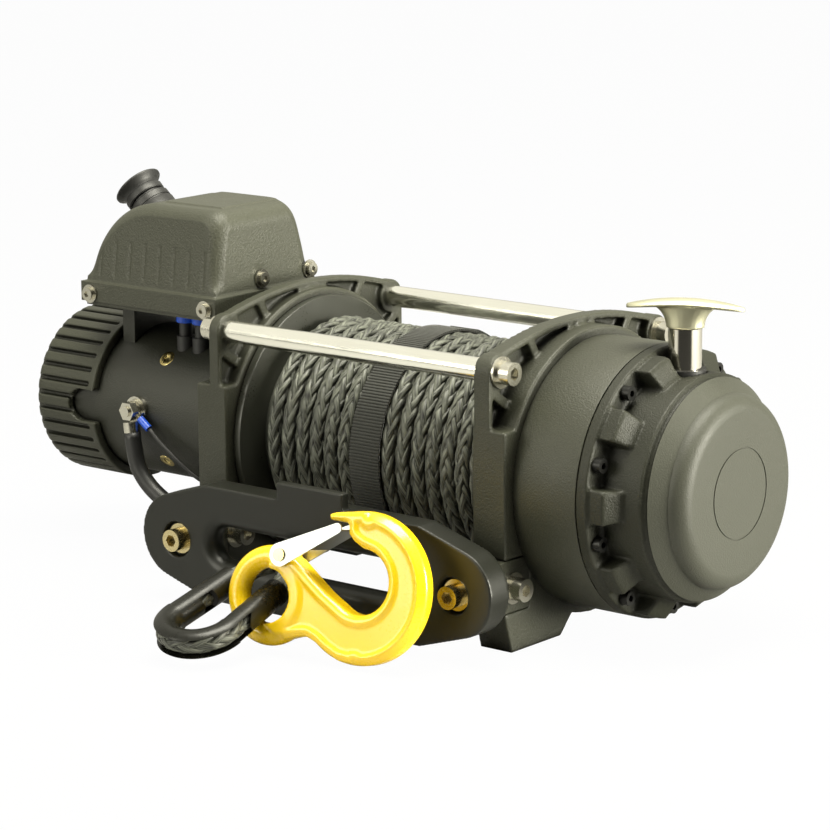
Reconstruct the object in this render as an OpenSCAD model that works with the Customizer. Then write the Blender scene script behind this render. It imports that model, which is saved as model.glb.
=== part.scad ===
// Electric recovery winch with synthetic rope, hawse fairlead and eye hook.
// X runs along the drum towards the gearbox, -Y faces the fairlead, +Z is up.
// The origin is the middle of the four mounting holes, on the underside of the feet.

/* [Mounting] */
// Distance between the mounting holes along the drum
mount_span_x = 254; // [240:1:300]
// Distance between the mounting holes front to back
mount_span_y = 114.3; // [108:0.1:120]
// Thread size of the mounting bolts
mount_bolt_d = 12; // [10:1:14]
// Height of the drum axis above the mounting face
axis_z = 111; // [108:0.5:116]

/* [Side frames] */
// Thickness of each casting along the drum
frame_w = 28; // [26:1:34]
// Radius of the casting's corners round the tie rods
corner_r = 12.5; // [11:0.5:14]
// Height of the crown of the castings
frame_h = 218; // [216:0.5:224]
// Height of the ledge on top of the front and rear blocks
ledge_z = 155; // [145:1:165]
// Depth of the front and rear blocks
block_depth = 16; // [14:1:20]
// Outer radius of the drum ring of each casting
ring_r = 101; // [100:0.5:103]

/* [Tie rods] */
// Diameter of the tie rods
rod_d = 16; // [14:0.5:18]
// Distance between the two tie rods
rod_span = 182; // [178:1:184]
// Height of the tie rods
rod_z = 193; // [188:1:196]

/* [Drum and rope] */
// Radius of the drum barrel
barrel_r = 44.5; // [40:0.5:48]
// Radius of the drum flanges
drum_flange_r = 96; // [94:0.5:97]
// Thickness of the drum flanges
drum_flange_t = 6; // [4:0.5:8]
// Diameter of the rope
rope_d = 12.4; // [11:0.1:13]
// Outer radius of the wound rope
pack_r = 82; // [78:0.5:84]
// Turns in the outer layer of rope
pack_turns = 15; // [10:1:15]
// Width of the webbing strap round the rope
strap_w = 26.5; // [20:0.5:40]

/* [Motor] */
// Radius of the motor tube
motor_r = 58; // [56:0.5:60]
// Length of the motor tube
motor_len = 189; // [180:1:200]
// Radius of the ribbed end cap
cap_r = 65; // [64:0.5:68]
// Length of the ribbed end cap
cap_len = 63; // [55:1:70]
// Ribs round the end cap
cap_ribs = 36; // [24:2:40]

/* [Gearbox] */
// Outer radius of the ring gear housing
housing_r = 95; // [94:0.5:97]
// Length of the ring gear housing
housing_len = 52.5; // [50:0.5:60]
// Bolt lobes round the gear cover
cover_lobes = 10; // [8:1:12]
// Radius of the gear cover behind the lobes
cover_r = 79; // [78:0.5:81]
// Radius of the round end cap
end_cap_r = 77; // [75:0.5:78]
// Gear tooth module
tooth_module = 3.5; // [3.3:0.1:3.5]

/* [Control box] */
// Length of the box along the motor
box_l = 138; // [130:1:140]
// Depth of the box front to back
box_w = 118; // [110:1:122]
// Height of the dome above the rim
dome_h = 62; // [55:1:70]
// Height of the rim
rim_h = 15; // [12:0.5:18]

/* [Fairlead] */
// Distance of the fairlead's front face from the drum axis
fairlead_front = 143; // [142:0.5:150]
// Thickness of the fairlead
fairlead_t = 20; // [18:0.5:20]
// Height of the fairlead's middle
fairlead_mid_z = 50; // [48:0.5:52]
// Distance of the bolts of the fairlead from each other
fairlead_span = 254; // [250:1:256]

/* [Hook and thimble] */
// Thickness of the hook body
hook_t = 18; // [16:0.5:18]
// Radius of the hook's inner bowl
bowl_r = 22.3; // [21:0.1:23.5]
// Radius of the hook's eye hole
eye_r = 18.9; // [18.8:0.1:19.4]

/* [Battery cable] */
// Diameter of the battery cable
cable_d = 12.6; // [11:0.1:12.8]

/* [Hidden] */

overrun = 1;
seat_gap = 0.3;
fit_gap = 0.05;
fine = 96;
medium = 48;

// Standard fasteners
m6_r = 3;
m6_head_r = 5;
m6_head_h = 6;
m8_r = 4;
m8_nut_r = 7.5;
m8_nut_h = 6.5;
m10_r = 5;
m10_head_r = 8;
m10_head_h = 10;
m10_key_r = 4.6;
m10_key_h = 5;
m10_clear = 0.3;
washer_r = 11;
washer_t = 2;
key_sides = 6;

// Places along the drum
frame_x = mount_span_x / 2;
left_out = -frame_x - frame_w / 2;
left_in = -frame_x + frame_w / 2;
right_in = frame_x - frame_w / 2;
right_out = frame_x + frame_w / 2;

// Castings
crown_r = 317;
rod_half = rod_span / 2;
frame_half = rod_half + corner_r;
rim_wall = 4.5;
web_t = 5;
rib_t = 7;
rib_angles = [35, 60, 120, 145];
left_rim_near = 6;
right_rim_near = 2;
left_rim_w = 9.5;
right_rim_w = 13;
left_rim = [left_in - left_rim_near - left_rim_w, left_in - left_rim_near];
right_rim = [right_in + right_rim_near, right_in + right_rim_near + right_rim_w];
foot_top_z = 70;
foot_shoulder_z = 28.7;
foot_toe = 8;
foot_heel = 40;
foot_heel_rise = 13.5;
foot_heel_run = 13;
foot_back = 60;
nut_w = 18;
nut_h = 10;
nut_floor = 15;
nut_slot_gap = 0.4;
rod_bore = 30;
bolt_hole_depth = 34;
bolt_clear = 0.5;

// Drum, bushes and shaft
flange_gap = 0.6;
drum_x = -left_in - flange_gap;
journal_r = 30;
bush_r = 35;
bush_wall_x = 8;
journal_in = 18;
journal_out = 2;
drum_bore_r = 12;
shaft_r = 9;
shaft_clear = 0.6;
armature_r = 38;
armature_ends = 18;
shaft_tail = 14;

// Wound rope
pack_side = 0.4;
rope_r = rope_d / 2;
winding_r = pack_r - rope_r;
pack_half = drum_x - drum_flange_t;
winding_x0 = pack_side + rope_r - pack_half;
winding_pitch = -2 * winding_x0 / pack_turns;
rings_per_turn = 24;
winding_sides = 6;
core_gap = 0.8;
strap_gap = 0.3;
strap_t = 1.6;
tail_l = 34;
tail_t = 1.6;
tail_in = 0.5;
tail_angle = -32;

// Motor
motor_wall = 6;
cap_fillet = 8;
cap_groove_w = 3.6;
cap_groove_depth = 4;
cap_lip = 6;
cap_end_wall = 12;
cap_gap = 0.1;
cap_floor = left_out - motor_len;
cap_end = cap_floor - cap_end_wall - cap_fillet;
cap_open = cap_end + cap_len;
notch_w = 25;
notch_l = 26;
pole_screw_in = 89;
pole_screw_x = left_out - pole_screw_in;
pole_screw_r = 6.5;
pole_screw_h = 2;
pole_angles = [45, 131, 229, 315];
stud_in = 104;
stud_rise = 3;
stud_x = left_out - stud_in;
stud_z = axis_z + stud_rise;
stud_base_r = 10;
stud_base_h = 3;
stud_len = 15;
lead_x = [-222, -206];
lead_y = -28;
lead_r = 5;
boot_r = 7;
boot_h = 12;

// Gearbox
sun_teeth = 12;
planet_teeth = 15;
ring_teeth = 42;
orbit_r = tooth_module * (sun_teeth + planet_teeth) / 2;
ring_pitch_r = tooth_module * ring_teeth / 2;
root_share = 1.2;
tooth_root_share = 0.27;
tooth_tip_share = 0.13;
ring_space_root_share = 0.37;
ring_space_tip_share = 0.22;
ring_r_out = 84;
ring_gap = 0.2;
carrier_r = 60;
carrier_t = 4;
carrier_gap = 1;
planet_h2 = 18;
planet_h1 = 14;
planet_pin_r = 6;
sleeve_r = 72;
sleeve_t = 6;
cover_band = 9;
cover_wall = 5;
lobe_len = 20;
lobe_r = 93;
lobe_share = 0.42;
lobe_slope = 8;
cover_len = 46;
cover_bolt_orbit = 87.5;
lobe_bury_share = 0.5;
step_h = 3;
step_w = 4;
end_cap_len = 22;
end_cap_taper = 9.5;
end_cap_fillet = 12;
emboss_r = 32;
emboss_w = 1.2;
emboss_depth = 0.6;
housing_x = right_out;
cover_x = housing_x + housing_len;
stage2_x = housing_x + journal_out + carrier_t + carrier_gap;
carrier1_x = stage2_x + planet_h2 + carrier_gap + carrier_gap;
stage1_x = carrier1_x + carrier_t + carrier_gap;
shaft_end = stage1_x + planet_h1;
end_cap_x = cover_x + cover_len;

// Clutch
clutch_in = 21.8;
clutch_x = cover_x + clutch_in;
clutch_r = 11.5;
collar_r = 14.5;
collar_h = 9;
collar_top = 192;
barrel_top = 220;
clutch_pin_r = 6;
handle_top = 240;
handle_half = 41;
handle_w = 20;
handle_neck_r = 9.5;
handle_angle = 23.7;
handle_tip_t = 5;

// Control box
box_x = -227;
box_front = -64;
rim_z = 193;
box_wall = 3;
front_lean = 8;
back_lean = 19;
dome_r = dome_h;
dome_small_r = 14;
panel_l = 56;
panel_w = 62;
panel_t = 1.2;
rim_step = 3;
groove_count = 8;
groove_l = 28;
groove_w = 2.4;
groove_depth = 0.8;
groove_pitch = 15;
groove_lift = 5;
base_t = 3;
bracket_t = 4;
saddle_w = 12;
saddle_half = 34;
saddle_x = [-276, -186];
box_screw_in = 10;
box_screw_z = 6;
box_side_screw_y = [-10, 44];
box_side_screw_z = 8;
box_screw_flange_r = 7;
box_screw_flange_t = 1.5;
contactor_room = 54;
contactor_l = box_l - contactor_room;
contactor_w = 60;
contactor_h = 48;

// Remote socket
socket_tilt = 47;
socket_y = 4;
socket_base_r = 19;
socket_neck_r = 15.5;
socket_body_h = 18;
socket_flange_h = 4;
socket_bore_r = 11;
plug_cap_r = 19.5;
plug_cap_h = 11;
plug_cap_disc = 3;
plug_skirt_r = 15;

// Fairlead
fairlead_h = 84;
fairlead_flat = 98;
lobe_end_r = 31;
lobe_end_x = 129;
window_half = 82;
window_r = 22;
roll_r = fairlead_t / 2;
plate_half = 30;
plate_rise = 12;
plate_t = 8;
bolt_recess_r = 13;
bolt_recess_h = 6;
fairlead_bolt_z = 48;
fairlead_bolt_len = 36;
adapter_z = [28.7, 65.8];
adapter_depth = 27;
adapter_cheek = 7;
adapter_screw_y = 95.5;
adapter_screw_z = 46;

// Thimble, in its own flat frame: crown towards -Y, near leg at +X
thimble_at = [-18.6, -233.7, 23.1];
thimble_pitch = 16;
thimble_roll = 3;
thimble_yaw = 1.5;
crown_arc_r = 24.5;
leg_angle = 4;
leg_len = 56;
tube_r = 9.6;
channel_r = 10.1;
eye_rope_r = 6.9;
eye_leg_r = 6.8;
bend_at = leg_len + overrun;
splice_reach = 97;
splice_len = 16;
splice_r = 7.4;

// Hook, in its own flat frame: eye hole at the origin, bowl towards +X
hook_at = [5.6, -188.4, 38.4];
hook_size = 100;
hook_lean = 12;
hook_turn = 7;
eye_ring_r = 7.8;
bowl_at = [73.5, 19];
bowl_chamfer = 3;
hook_round_at = [73.5, 14.5];
hook_round_r = 52;
hook_chamfer = 5;
latch_at = [10.7, 29.5];
latch_boss_r = 6.5;
latch_angle = 28;
latch_len = 50;
latch_end_r = 8;
latch_tip_r = 3.5;
latch_t = 1.4;
latch_gap = 2.2;
latch_pin_r = 3;
latch_head_r = 4.5;
latch_head_h = 1.2;
latch_floor_at = 24;
spring_r = 5;
spring_w = 1.6;

// Battery cable and earth wire
cable_r = cable_d / 2;
cable_sides = 8;
coil_at = [-150, 205];
coil_out_r = 62;
climb_turns = 0.25;
coil_turns = 2;
coil_gap = 0.8;
coil_sides = 6;
lug_t = 2.4;
lug_r = 8;
tag_t = 1.2;
tag_r = 6.5;
lug_hole_r = 4.3;
lug_barrel_l = 8;
lug_tilt = 8;
lug_barrel_wall = 1.4;
wire_r = 1.6;
crimp_r = 2.9;
crimp_l = 11;
crimp_at = 9.5;
crimp_tilt = 36;

// Route of the battery cable from the lug on the motor to the coil behind the motor
cable_route = [[-242.8, -67.3, 98.1], [-241.1, -67.3, 85.8], [-237.4, -67, 71.6], [-228, -66, 59],
    [-214, -64, 48.6], [-200.5, -59.5, 39.8], [-188.5, -52, 31.6], [-180.5, -40.5, 24], [-176.6, -26, 17.2],
    [-175.4, -9, 11.8], [-176, 9, 8.4], [-178, 29, 6.8], [-181.5, 51, 6.4], [-187, 75, 6.3],
    [-193.5, 99, 6.3], [-200, 122, 6.3], [-206, 144, 6.3], [-210.4, 163, 6.3], [-212, 179.8, 6.3],
    [-212, 192.4, 6.3]];
// Route of the earth wire from the crimp on the motor stud to the back of the control box
wire_route = [[-228.4, -64, 102], [-226, -64, 100.2], [-220, -63.4, 94.4], [-212, -62, 87.4],
    [-204, -60, 80.4], [-196, -57, 73.2], [-188, -53.5, 67], [-181, -48, 61.4], [-176, -39, 56],
    [-173, -27, 51], [-172, -13, 47.6], [-172, 2, 46.8], [-172, 17, 49], [-172, 31, 54.4],
    [-172, 43, 62.6], [-172, 53, 74], [-172, 60, 87], [-172, 63.5, 101.6], [-172, 64, 117],
    [-172, 61, 132.6], [-172, 55.4, 147.6], [-172, 48.4, 161.6], [-172, 41.6, 174], [-172, 38.6, 183],
    [-172, 38, 190]];
// Route of the rope from the underside of the drum through the fairlead to the splice
rope_route = [[-99.8, -12.4, 35], [-99.8, -24.8, 35], [-98.4, -36, 35.8], [-94.5, -48, 37.6],
    [-88, -60, 40.4], [-79.5, -72, 43.8], [-69.5, -83, 47.4], [-58.5, -93, 50.6], [-47, -102, 52.8],
    [-36, -110.5, 54], [-27, -118.6, 54.4], [-21.4, -128.6, 53.3], [-21, -140.4, 49.9]];

// Shapes along the main directions

module extrude_x(from_x, to_x) {
    translate([from_x, 0, 0])
        rotate([90, 0, 90])
            linear_extrude(to_x - from_x)
                children();
}

module cyl_x(r, from_x, to_x, y = 0, z = axis_z, sides = fine) {
    translate([from_x, y, z])
        rotate([0, 90, 0])
            cylinder(r = r, h = to_x - from_x, $fn = sides);
}

module cyl_y(r, from_y, to_y, x, z, sides = medium) {
    translate([x, to_y, z])
        rotate([90, 0, 0])
            cylinder(r = r, h = to_y - from_y, $fn = sides);
}

module cyl_z(r, from_z, to_z, x, y, sides = medium) {
    translate([x, y, from_z])
        cylinder(r = r, h = to_z - from_z, $fn = sides);
}

// A socket screw along Z, its head upwards and its seat at zero
module socket_screw_shape(r, head_r, head_h, length, key_r, key_h) {
    difference() {
        union() {
            translate([0, 0, -length])
                cylinder(r = r, h = length, $fn = medium);
            cylinder(r = head_r, h = head_h, $fn = medium);
        }
        translate([0, 0, head_h - key_h])
            cylinder(r = key_r, h = key_h + overrun, $fn = key_sides);
    }
}

module washer(r, hole_r, t) {
    difference() {
        cylinder(r = r, h = t, $fn = medium);
        translate([0, 0, -overrun])
            cylinder(r = hole_r, h = t + 2 * overrun, $fn = medium);
    }
}

// An M10 screw and its washer, seated at zero and pointing down
module m10_set(length) {
    washer(washer_r, m10_r + m10_clear, washer_t);
    translate([0, 0, washer_t])
        socket_screw_shape(m10_r, m10_head_r, m10_head_h, length, m10_key_r, m10_key_h);
}

// Side castings

module casting_outline(inset) {
    intersection() {
        translate([0, frame_h - crown_r])
            circle(crown_r - inset, $fn = 8 * fine);
        translate([-rod_half, rod_z])
            square([rod_span, frame_h]);
    }
    for (side = [-1, 1])
        translate([side * rod_half, rod_z])
            circle(corner_r - inset, $fn = medium);
    translate([inset - frame_half, foot_shoulder_z + inset])
        square([2 * (frame_half - inset), rod_z - foot_shoulder_z - inset]);
}

module foot_outline() {
    polygon([[-frame_half, foot_top_z], [-frame_half, foot_shoulder_z], [foot_toe - frame_half, 0],
        [-foot_heel, 0], [foot_heel_run - foot_heel, foot_heel_rise],
        [foot_heel_run - foot_heel, foot_shoulder_z], [-foot_back, foot_top_z]]);
}

module casting_ribs() {
    intersection() {
        casting_outline(0);
        for (angle = rib_angles)
            translate([0, axis_z])
                rotate(angle)
                    translate([ring_r - rim_wall, -rib_t / 2])
                        square([frame_half, rib_t]);
    }
}

module casting_body(x0, x1, rim) {
    cyl_x(ring_r, x0, x1);
    for (side = [0, 1])
        mirror([0, side, 0]) {
            extrude_x(x0, x1)
                translate([-frame_half, foot_shoulder_z])
                    square([block_depth, ledge_z - foot_shoulder_z]);
            extrude_x(x0, x1)
                foot_outline();
            cyl_x(corner_r, rim[0], rim[1], -rod_half, rod_z, medium);
        }
    extrude_x(rim[0], rim[1])
        difference() {
            casting_outline(0);
            casting_outline(rim_wall);
        }
    extrude_x(rim[0], rim[0] + web_t)
        casting_outline(0);
    extrude_x(rim[0], rim[1])
        casting_ribs();
}

// Everything bored or cut out of a casting. open_side is +1 where the nut slots open towards +X.
module casting_cuts(x0, x1, rim, open_side) {
    mid = (x0 + x1) / 2;
    slot_w = nut_w + nut_slot_gap;
    slot_h = nut_h + nut_slot_gap;
    for (side = [-1, 1]) {
        cyl_x(m10_r + m10_clear, rim[0] - overrun, rim[1] + overrun, side * rod_half, rod_z, medium);
        cyl_z(mount_bolt_d / 2 + bolt_clear, -overrun, bolt_hole_depth, mid, side * mount_span_y / 2);
        translate([open_side > 0 ? mid - slot_w / 2 : x0 - overrun,
                side * mount_span_y / 2 - slot_w / 2, nut_floor])
            cube([frame_w / 2 + slot_w / 2 + overrun, slot_w, slot_h]);
    }
    translate([x0 + (open_side > 0 ? -overrun : adapter_cheek), -frame_half - overrun, adapter_z[0]])
        cube([frame_w - adapter_cheek + overrun, adapter_depth + overrun, adapter_z[1] - adapter_z[0]]);
    cyl_x(m10_r + fit_gap, x0 - overrun, x1 + overrun, -adapter_screw_y, adapter_screw_z, medium);
}

module left_frame() {
    color([0.13, 0.13, 0.12])
        difference() {
            casting_body(left_out, left_in, left_rim);
            casting_cuts(left_out, left_in, left_rim, 1);
            cyl_x(bush_r, left_out + bush_wall_x, left_in + overrun);
            cyl_x(shaft_r + shaft_clear, left_out - overrun, left_in);
        }
}

module right_frame() {
    color([0.13, 0.13, 0.12])
        difference() {
            casting_body(right_in, right_out, right_rim);
            casting_cuts(right_in, right_out, right_rim, -1);
            cyl_x(bush_r, right_in - overrun, right_out + overrun);
        }
}

module foot_nuts() {
    color("silver")
        for (x = [-frame_x, frame_x], y = [-mount_span_y / 2, mount_span_y / 2])
            difference() {
                translate([x - nut_w / 2, y - nut_w / 2, nut_floor])
                    cube([nut_w, nut_w, nut_h]);
                cyl_z(mount_bolt_d / 2, nut_floor - overrun, nut_floor + nut_h + overrun, x, y);
            }
}

module tie_rods() {
    color([0.85, 0.84, 0.8])
        for (side = [-1, 1])
            difference() {
                cyl_x(rod_d / 2, left_rim[1], right_rim[0], side * rod_half, rod_z);
                cyl_x(m10_r + fit_gap, left_rim[1] - overrun, left_rim[1] + rod_bore,
                    side * rod_half, rod_z);
                cyl_x(m10_r + fit_gap, right_rim[0] - rod_bore, right_rim[0] + overrun,
                    side * rod_half, rod_z);
            }
}

module tie_rod_screws() {
    color([0.8, 0.78, 0.7])
        for (side = [-1, 1]) {
            translate([right_rim[1], side * rod_half, rod_z])
                rotate([0, 90, 0])
                    m10_set(rod_bore);
            translate([left_rim[0], side * rod_half, rod_z])
                rotate([0, -90, 0])
                    m10_set(rod_bore);
        }
}

// Motor

module motor_tube() {
    color([0.11, 0.11, 0.11])
        difference() {
            cyl_x(motor_r, cap_floor, left_out);
            cyl_x(motor_r - motor_wall, cap_floor - overrun, left_out + overrun);
            for (angle = pole_angles)
                translate([pole_screw_x, 0, axis_z])
                    rotate([angle, 0, 0])
                        translate([0, 0, motor_r - pole_screw_h])
                            cylinder(r = pole_screw_r, h = motor_wall, $fn = medium);
            cyl_y(m8_r + fit_gap, -motor_r, 0, stud_x, stud_z);
        }
}

module motor_end_cap() {
    color([0.12, 0.12, 0.11])
        difference() {
            translate([cap_end, 0, axis_z])
                rotate([0, 90, 0])
                    rotate_extrude($fn = fine)
                        union() {
                            translate([0, cap_fillet])
                                square([cap_r, cap_len - cap_fillet]);
                            square([cap_r - cap_fillet, cap_len]);
                            translate([cap_r - cap_fillet, cap_fillet])
                                circle(cap_fillet, $fn = medium);
                        }
            cyl_x(motor_r + cap_gap, cap_floor, cap_open + overrun);
            cyl_x(shaft_r + fit_gap, cap_floor - shaft_tail, cap_floor + overrun);
            for (rib = [0:cap_ribs - 1])
                translate([0, 0, axis_z])
                    rotate([(rib + 0.5) * 360 / cap_ribs, 0, 0])
                        translate([cap_end - overrun, -cap_groove_w / 2, cap_r - cap_groove_depth])
                            cube([cap_len - cap_lip + overrun, cap_groove_w, cap_groove_depth + overrun]);
            hull() {
                cyl_y(notch_w / 2, -cap_r - overrun, 0, cap_open - notch_l + notch_w / 2, axis_z);
                cyl_y(notch_w / 2, -cap_r - overrun, 0, cap_open + notch_w, axis_z);
            }
        }
}

module motor_screws() {
    color([0.75, 0.6, 0.3])
        for (angle = pole_angles)
            translate([pole_screw_x, 0, axis_z])
                rotate([angle, 0, 0])
                    translate([0, 0, motor_r - pole_screw_h])
                        difference() {
                            cylinder(r = pole_screw_r - fit_gap, h = pole_screw_h, $fn = medium);
                            translate([0, 0, pole_screw_h / 2])
                                cylinder(r = m6_r, h = motor_wall, $fn = key_sides);
                        }
}

module terminal_stud() {
    nut_y = -motor_r - stud_base_h - lug_t - tag_t;
    color([0.8, 0.78, 0.7]) {
        cyl_y(m8_r, -motor_r - stud_len, motor_wall - motor_r, stud_x, stud_z);
        cyl_y(m8_nut_r, nut_y - m8_nut_h, nut_y, stud_x, stud_z, key_sides);
        difference() {
            cyl_y(stud_base_r, -motor_r - stud_base_h, stud_base_h - motor_r, stud_x, stud_z);
            cyl_x(motor_r, cap_floor, left_out);
        }
    }
}

// Short insulated leads between the motor's top and the control box base
module motor_leads() {
    lead_z = axis_z + sqrt(motor_r * motor_r - lead_y * lead_y);
    color([0.2, 0.35, 0.7])
        for (x = lead_x)
            difference() {
                union() {
                    cyl_z(lead_r, lead_z - lead_r, rim_z - base_t - bracket_t, x, lead_y);
                    cyl_z(boot_r, lead_z - lead_r, lead_z + boot_h - lead_r, x, lead_y);
                }
                cyl_x(motor_r, cap_floor, left_out);
            }
}

module armature() {
    color([0.5, 0.42, 0.35])
        union() {
            cyl_x(armature_r, cap_floor + armature_ends, left_out - armature_ends);
            cyl_x(shaft_r, cap_floor - shaft_tail + seat_gap, shaft_end);
            translate([stage1_x, 0, axis_z])
                gear_along_x(sun_teeth, planet_h1, 0);
        }
}

// Drum, bushes and wound rope

module drum() {
    color([0.12, 0.12, 0.12])
        difference() {
            union() {
                cyl_x(barrel_r, -drum_x, drum_x);
                cyl_x(drum_flange_r, -drum_x, -pack_half);
                cyl_x(drum_flange_r, pack_half, drum_x);
                cyl_x(journal_r, -drum_x - journal_in, housing_x + journal_out);
            }
            cyl_x(drum_bore_r, -drum_x - journal_in - overrun, housing_x + journal_out + overrun);
        }
}

module drum_bushes() {
    color([0.72, 0.58, 0.3]) {
        difference() {
            cyl_x(bush_r - fit_gap, left_out + bush_wall_x, left_in);
            cyl_x(journal_r + fit_gap, left_out, left_in + overrun);
        }
        difference() {
            cyl_x(bush_r - fit_gap, right_in, right_out);
            cyl_x(journal_r + fit_gap, right_in - overrun, right_out + overrun);
        }
    }
}

module rope_core() {
    color([0.2, 0.2, 0.19])
        difference() {
            cyl_x(winding_r - rope_r - core_gap, -pack_half, pack_half);
            cyl_x(barrel_r, -pack_half - overrun, pack_half + overrun);
        }
}

// Centre of the outer layer of rope at a share of a turn; it ends under the drum, heading forward
function winding_point(turn) =
    let (a = 360 * (turn - pack_turns))
    [-winding_x0 - turn * winding_pitch, -winding_r * sin(a), axis_z - winding_r * cos(a)];

winding_steps = rings_per_turn * pack_turns;
winding_path = concat(
    [winding_point(0) + [0, rope_d, 0]],
    [for (i = [0:winding_steps]) winding_point(i / rings_per_turn)],
    [winding_point(pack_turns) + [0, -rope_d, 0]]);

// Least distance from a ring of the path to rings of other turns, less the tube's diameter
function winding_clearance() =
    min([for (i = [rings_per_turn + 2:4:winding_steps])
        min([for (k = [-2:2]) norm(winding_path[i] - winding_path[i - rings_per_turn + 1 + k])])])
    - rope_d;
echo(winding_gap = winding_clearance());

// Normalised vector
function unit(v) = v / norm(v);

function path_tangent(path, i) =
    let (last = len(path) - 1)
    unit(path[min(i + 1, last)] - path[max(i - 1, 0)]);

// Ring of points round a path point, kept upright by the reference direction
function ring_points(path, i, r, sides, up) =
    let (t = path_tangent(path, i), n = unit(cross(up, t)), b = cross(t, n))
    [for (k = [0:sides - 1]) path[i] + r * (cos(360 * k / sides) * n + sin(360 * k / sides) * b)];

module swept_tube(path, r, sides, up) {
    rings = len(path);
    points = [for (i = [0:rings - 1]) each ring_points(path, i, r, sides, up)];
    walls = [for (i = [0:rings - 2], k = [0:sides - 1], half = [0, 1])
        let (a = i * sides + k, b = i * sides + (k + 1) % sides)
        half == 0 ? [a, a + sides, b] : [b, a + sides, b + sides]];
    caps = [[for (k = [0:sides - 1]) k], [for (k = [sides - 1:-1:0]) (rings - 1) * sides + k]];
    polyhedron(points, concat(walls, caps));
}

module rope_winding() {
    color([0.27, 0.27, 0.25])
        swept_tube(winding_path, rope_r, winding_sides, [1, 0, 0]);
}

module rope_strap() {
    inner_r = pack_r + strap_gap;
    color([0.09, 0.09, 0.09]) {
        difference() {
            cyl_x(inner_r + strap_t, -strap_w / 2, strap_w / 2);
            cyl_x(inner_r, -strap_w / 2 - overrun, strap_w / 2 + overrun);
        }
        translate([0, 0, axis_z])
            rotate([tail_angle, 0, 0])
                translate([tail_in - strap_w / 2, -tail_l / 2, inner_r + strap_t / 2])
                    cube([strap_w - 2 * tail_in, tail_l, strap_t / 2 + tail_t]);
    }
}

module rope_run() {
    color([0.27, 0.27, 0.25])
        swept_tube(rope_route, rope_r, cable_sides, [0, 0, 1]);
}

// Gears: every tooth of one centred on its angle

function gear_points(teeth, tip_r, root_r, root_half, tip_half) =
    let (step = 360 / teeth)
    [for (i = [0:teeth - 1], corner = [[root_r, -root_half], [tip_r, -tip_half],
            [tip_r, tip_half], [root_r, root_half]])
        corner[0] * [cos(step * (i + corner[1])), sin(step * (i + corner[1]))]];

module gear_outline(teeth) {
    pitch_r = tooth_module * teeth / 2;
    polygon(gear_points(teeth, pitch_r + tooth_module, pitch_r - root_share * tooth_module,
        tooth_root_share, tooth_tip_share));
}

// A gear whose axis is X, turned by angle
module gear_along_x(teeth, h, angle) {
    rotate([90, 0, 90])
        linear_extrude(h)
            rotate(angle)
                gear_outline(teeth);
}

module planet(x, h, angle) {
    color([0.55, 0.55, 0.57])
        difference() {
            translate([x, 0, axis_z])
                rotate([angle, 0, 0])
                    translate([0, orbit_r, 0])
                        gear_along_x(planet_teeth, h, 0);
            translate([0, 0, axis_z])
                rotate([angle, 0, 0])
                    translate([x - overrun, orbit_r, 0])
                        rotate([0, 90, 0])
                            cylinder(r = planet_pin_r + fit_gap, h = h + 2 * overrun, $fn = medium);
        }
}

module planet_pins(from_x, to_x) {
    for (angle = [0, 120, 240])
        translate([0, 0, axis_z])
            rotate([angle, 0, 0])
                translate([from_x, orbit_r, 0])
                    rotate([0, 90, 0])
                        cylinder(r = planet_pin_r, h = to_x - from_x, $fn = medium);
}

module output_carrier() {
    x0 = housing_x + journal_out;
    color([0.45, 0.45, 0.46])
        difference() {
            union() {
                cyl_x(carrier_r, x0, x0 + carrier_t);
                planet_pins(x0, stage2_x + planet_h2);
            }
            cyl_x(drum_bore_r, x0 - overrun, x0 + carrier_t + overrun);
        }
}

module first_carrier() {
    color([0.45, 0.45, 0.46])
        difference() {
            union() {
                cyl_x(carrier_r, carrier1_x, carrier1_x + carrier_t);
                planet_pins(carrier1_x, stage1_x + planet_h1);
                translate([stage2_x, 0, axis_z])
                    gear_along_x(sun_teeth, carrier1_x - stage2_x, 0);
            }
            cyl_x(shaft_r + fit_gap, stage2_x - overrun, carrier1_x + carrier_t + overrun);
        }
}

module ring_gear() {
    ring_x0 = stage2_x - carrier_gap / 2;
    ring_x1 = shaft_end + carrier_gap;
    sleeve_x1 = clutch_x + clutch_pin_r + sleeve_t;
    color([0.5, 0.5, 0.5])
        difference() {
            union() {
                cyl_x(ring_r_out, ring_x0, ring_x1);
                cyl_x(sleeve_r, ring_x0, sleeve_x1);
            }
            translate([ring_x0 - overrun, 0, axis_z])
                rotate([90, 0, 90])
                    linear_extrude(ring_x1 - ring_x0 + overrun)
                        polygon(gear_points(ring_teeth, ring_pitch_r + root_share * tooth_module,
                            ring_pitch_r - tooth_module, ring_space_root_share, ring_space_tip_share));
            cyl_x(sleeve_r - sleeve_t, ring_x1 - overrun, sleeve_x1 + overrun);
            cyl_z(clutch_pin_r + seat_gap, axis_z, axis_z + sleeve_r + overrun, clutch_x, 0);
        }
}

module ring_gear_housing() {
    color([0.13, 0.13, 0.12])
        difference() {
            cyl_x(housing_r, housing_x, cover_x);
            cyl_x(ring_r_out + ring_gap, housing_x + carrier_gap, cover_x + overrun);
            cyl_x(bush_r + overrun, housing_x - overrun, cover_x);
        }
}

// A bolt lobe of the cover: a wedge-shaped pad that slopes away towards the end cap
module cover_lobe() {
    half = lobe_share * 180 / cover_lobes;
    inner = cover_r - lobe_bury_share * cover_wall;
    rotate([0, 90, 0])
        rotate([0, 0, -half])
            rotate_extrude(angle = 2 * half, $fn = fine)
                polygon([[inner, 0], [lobe_r, 0], [lobe_r, lobe_len - lobe_slope], [cover_r, lobe_len],
                    [inner, lobe_len]]);
}

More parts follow.
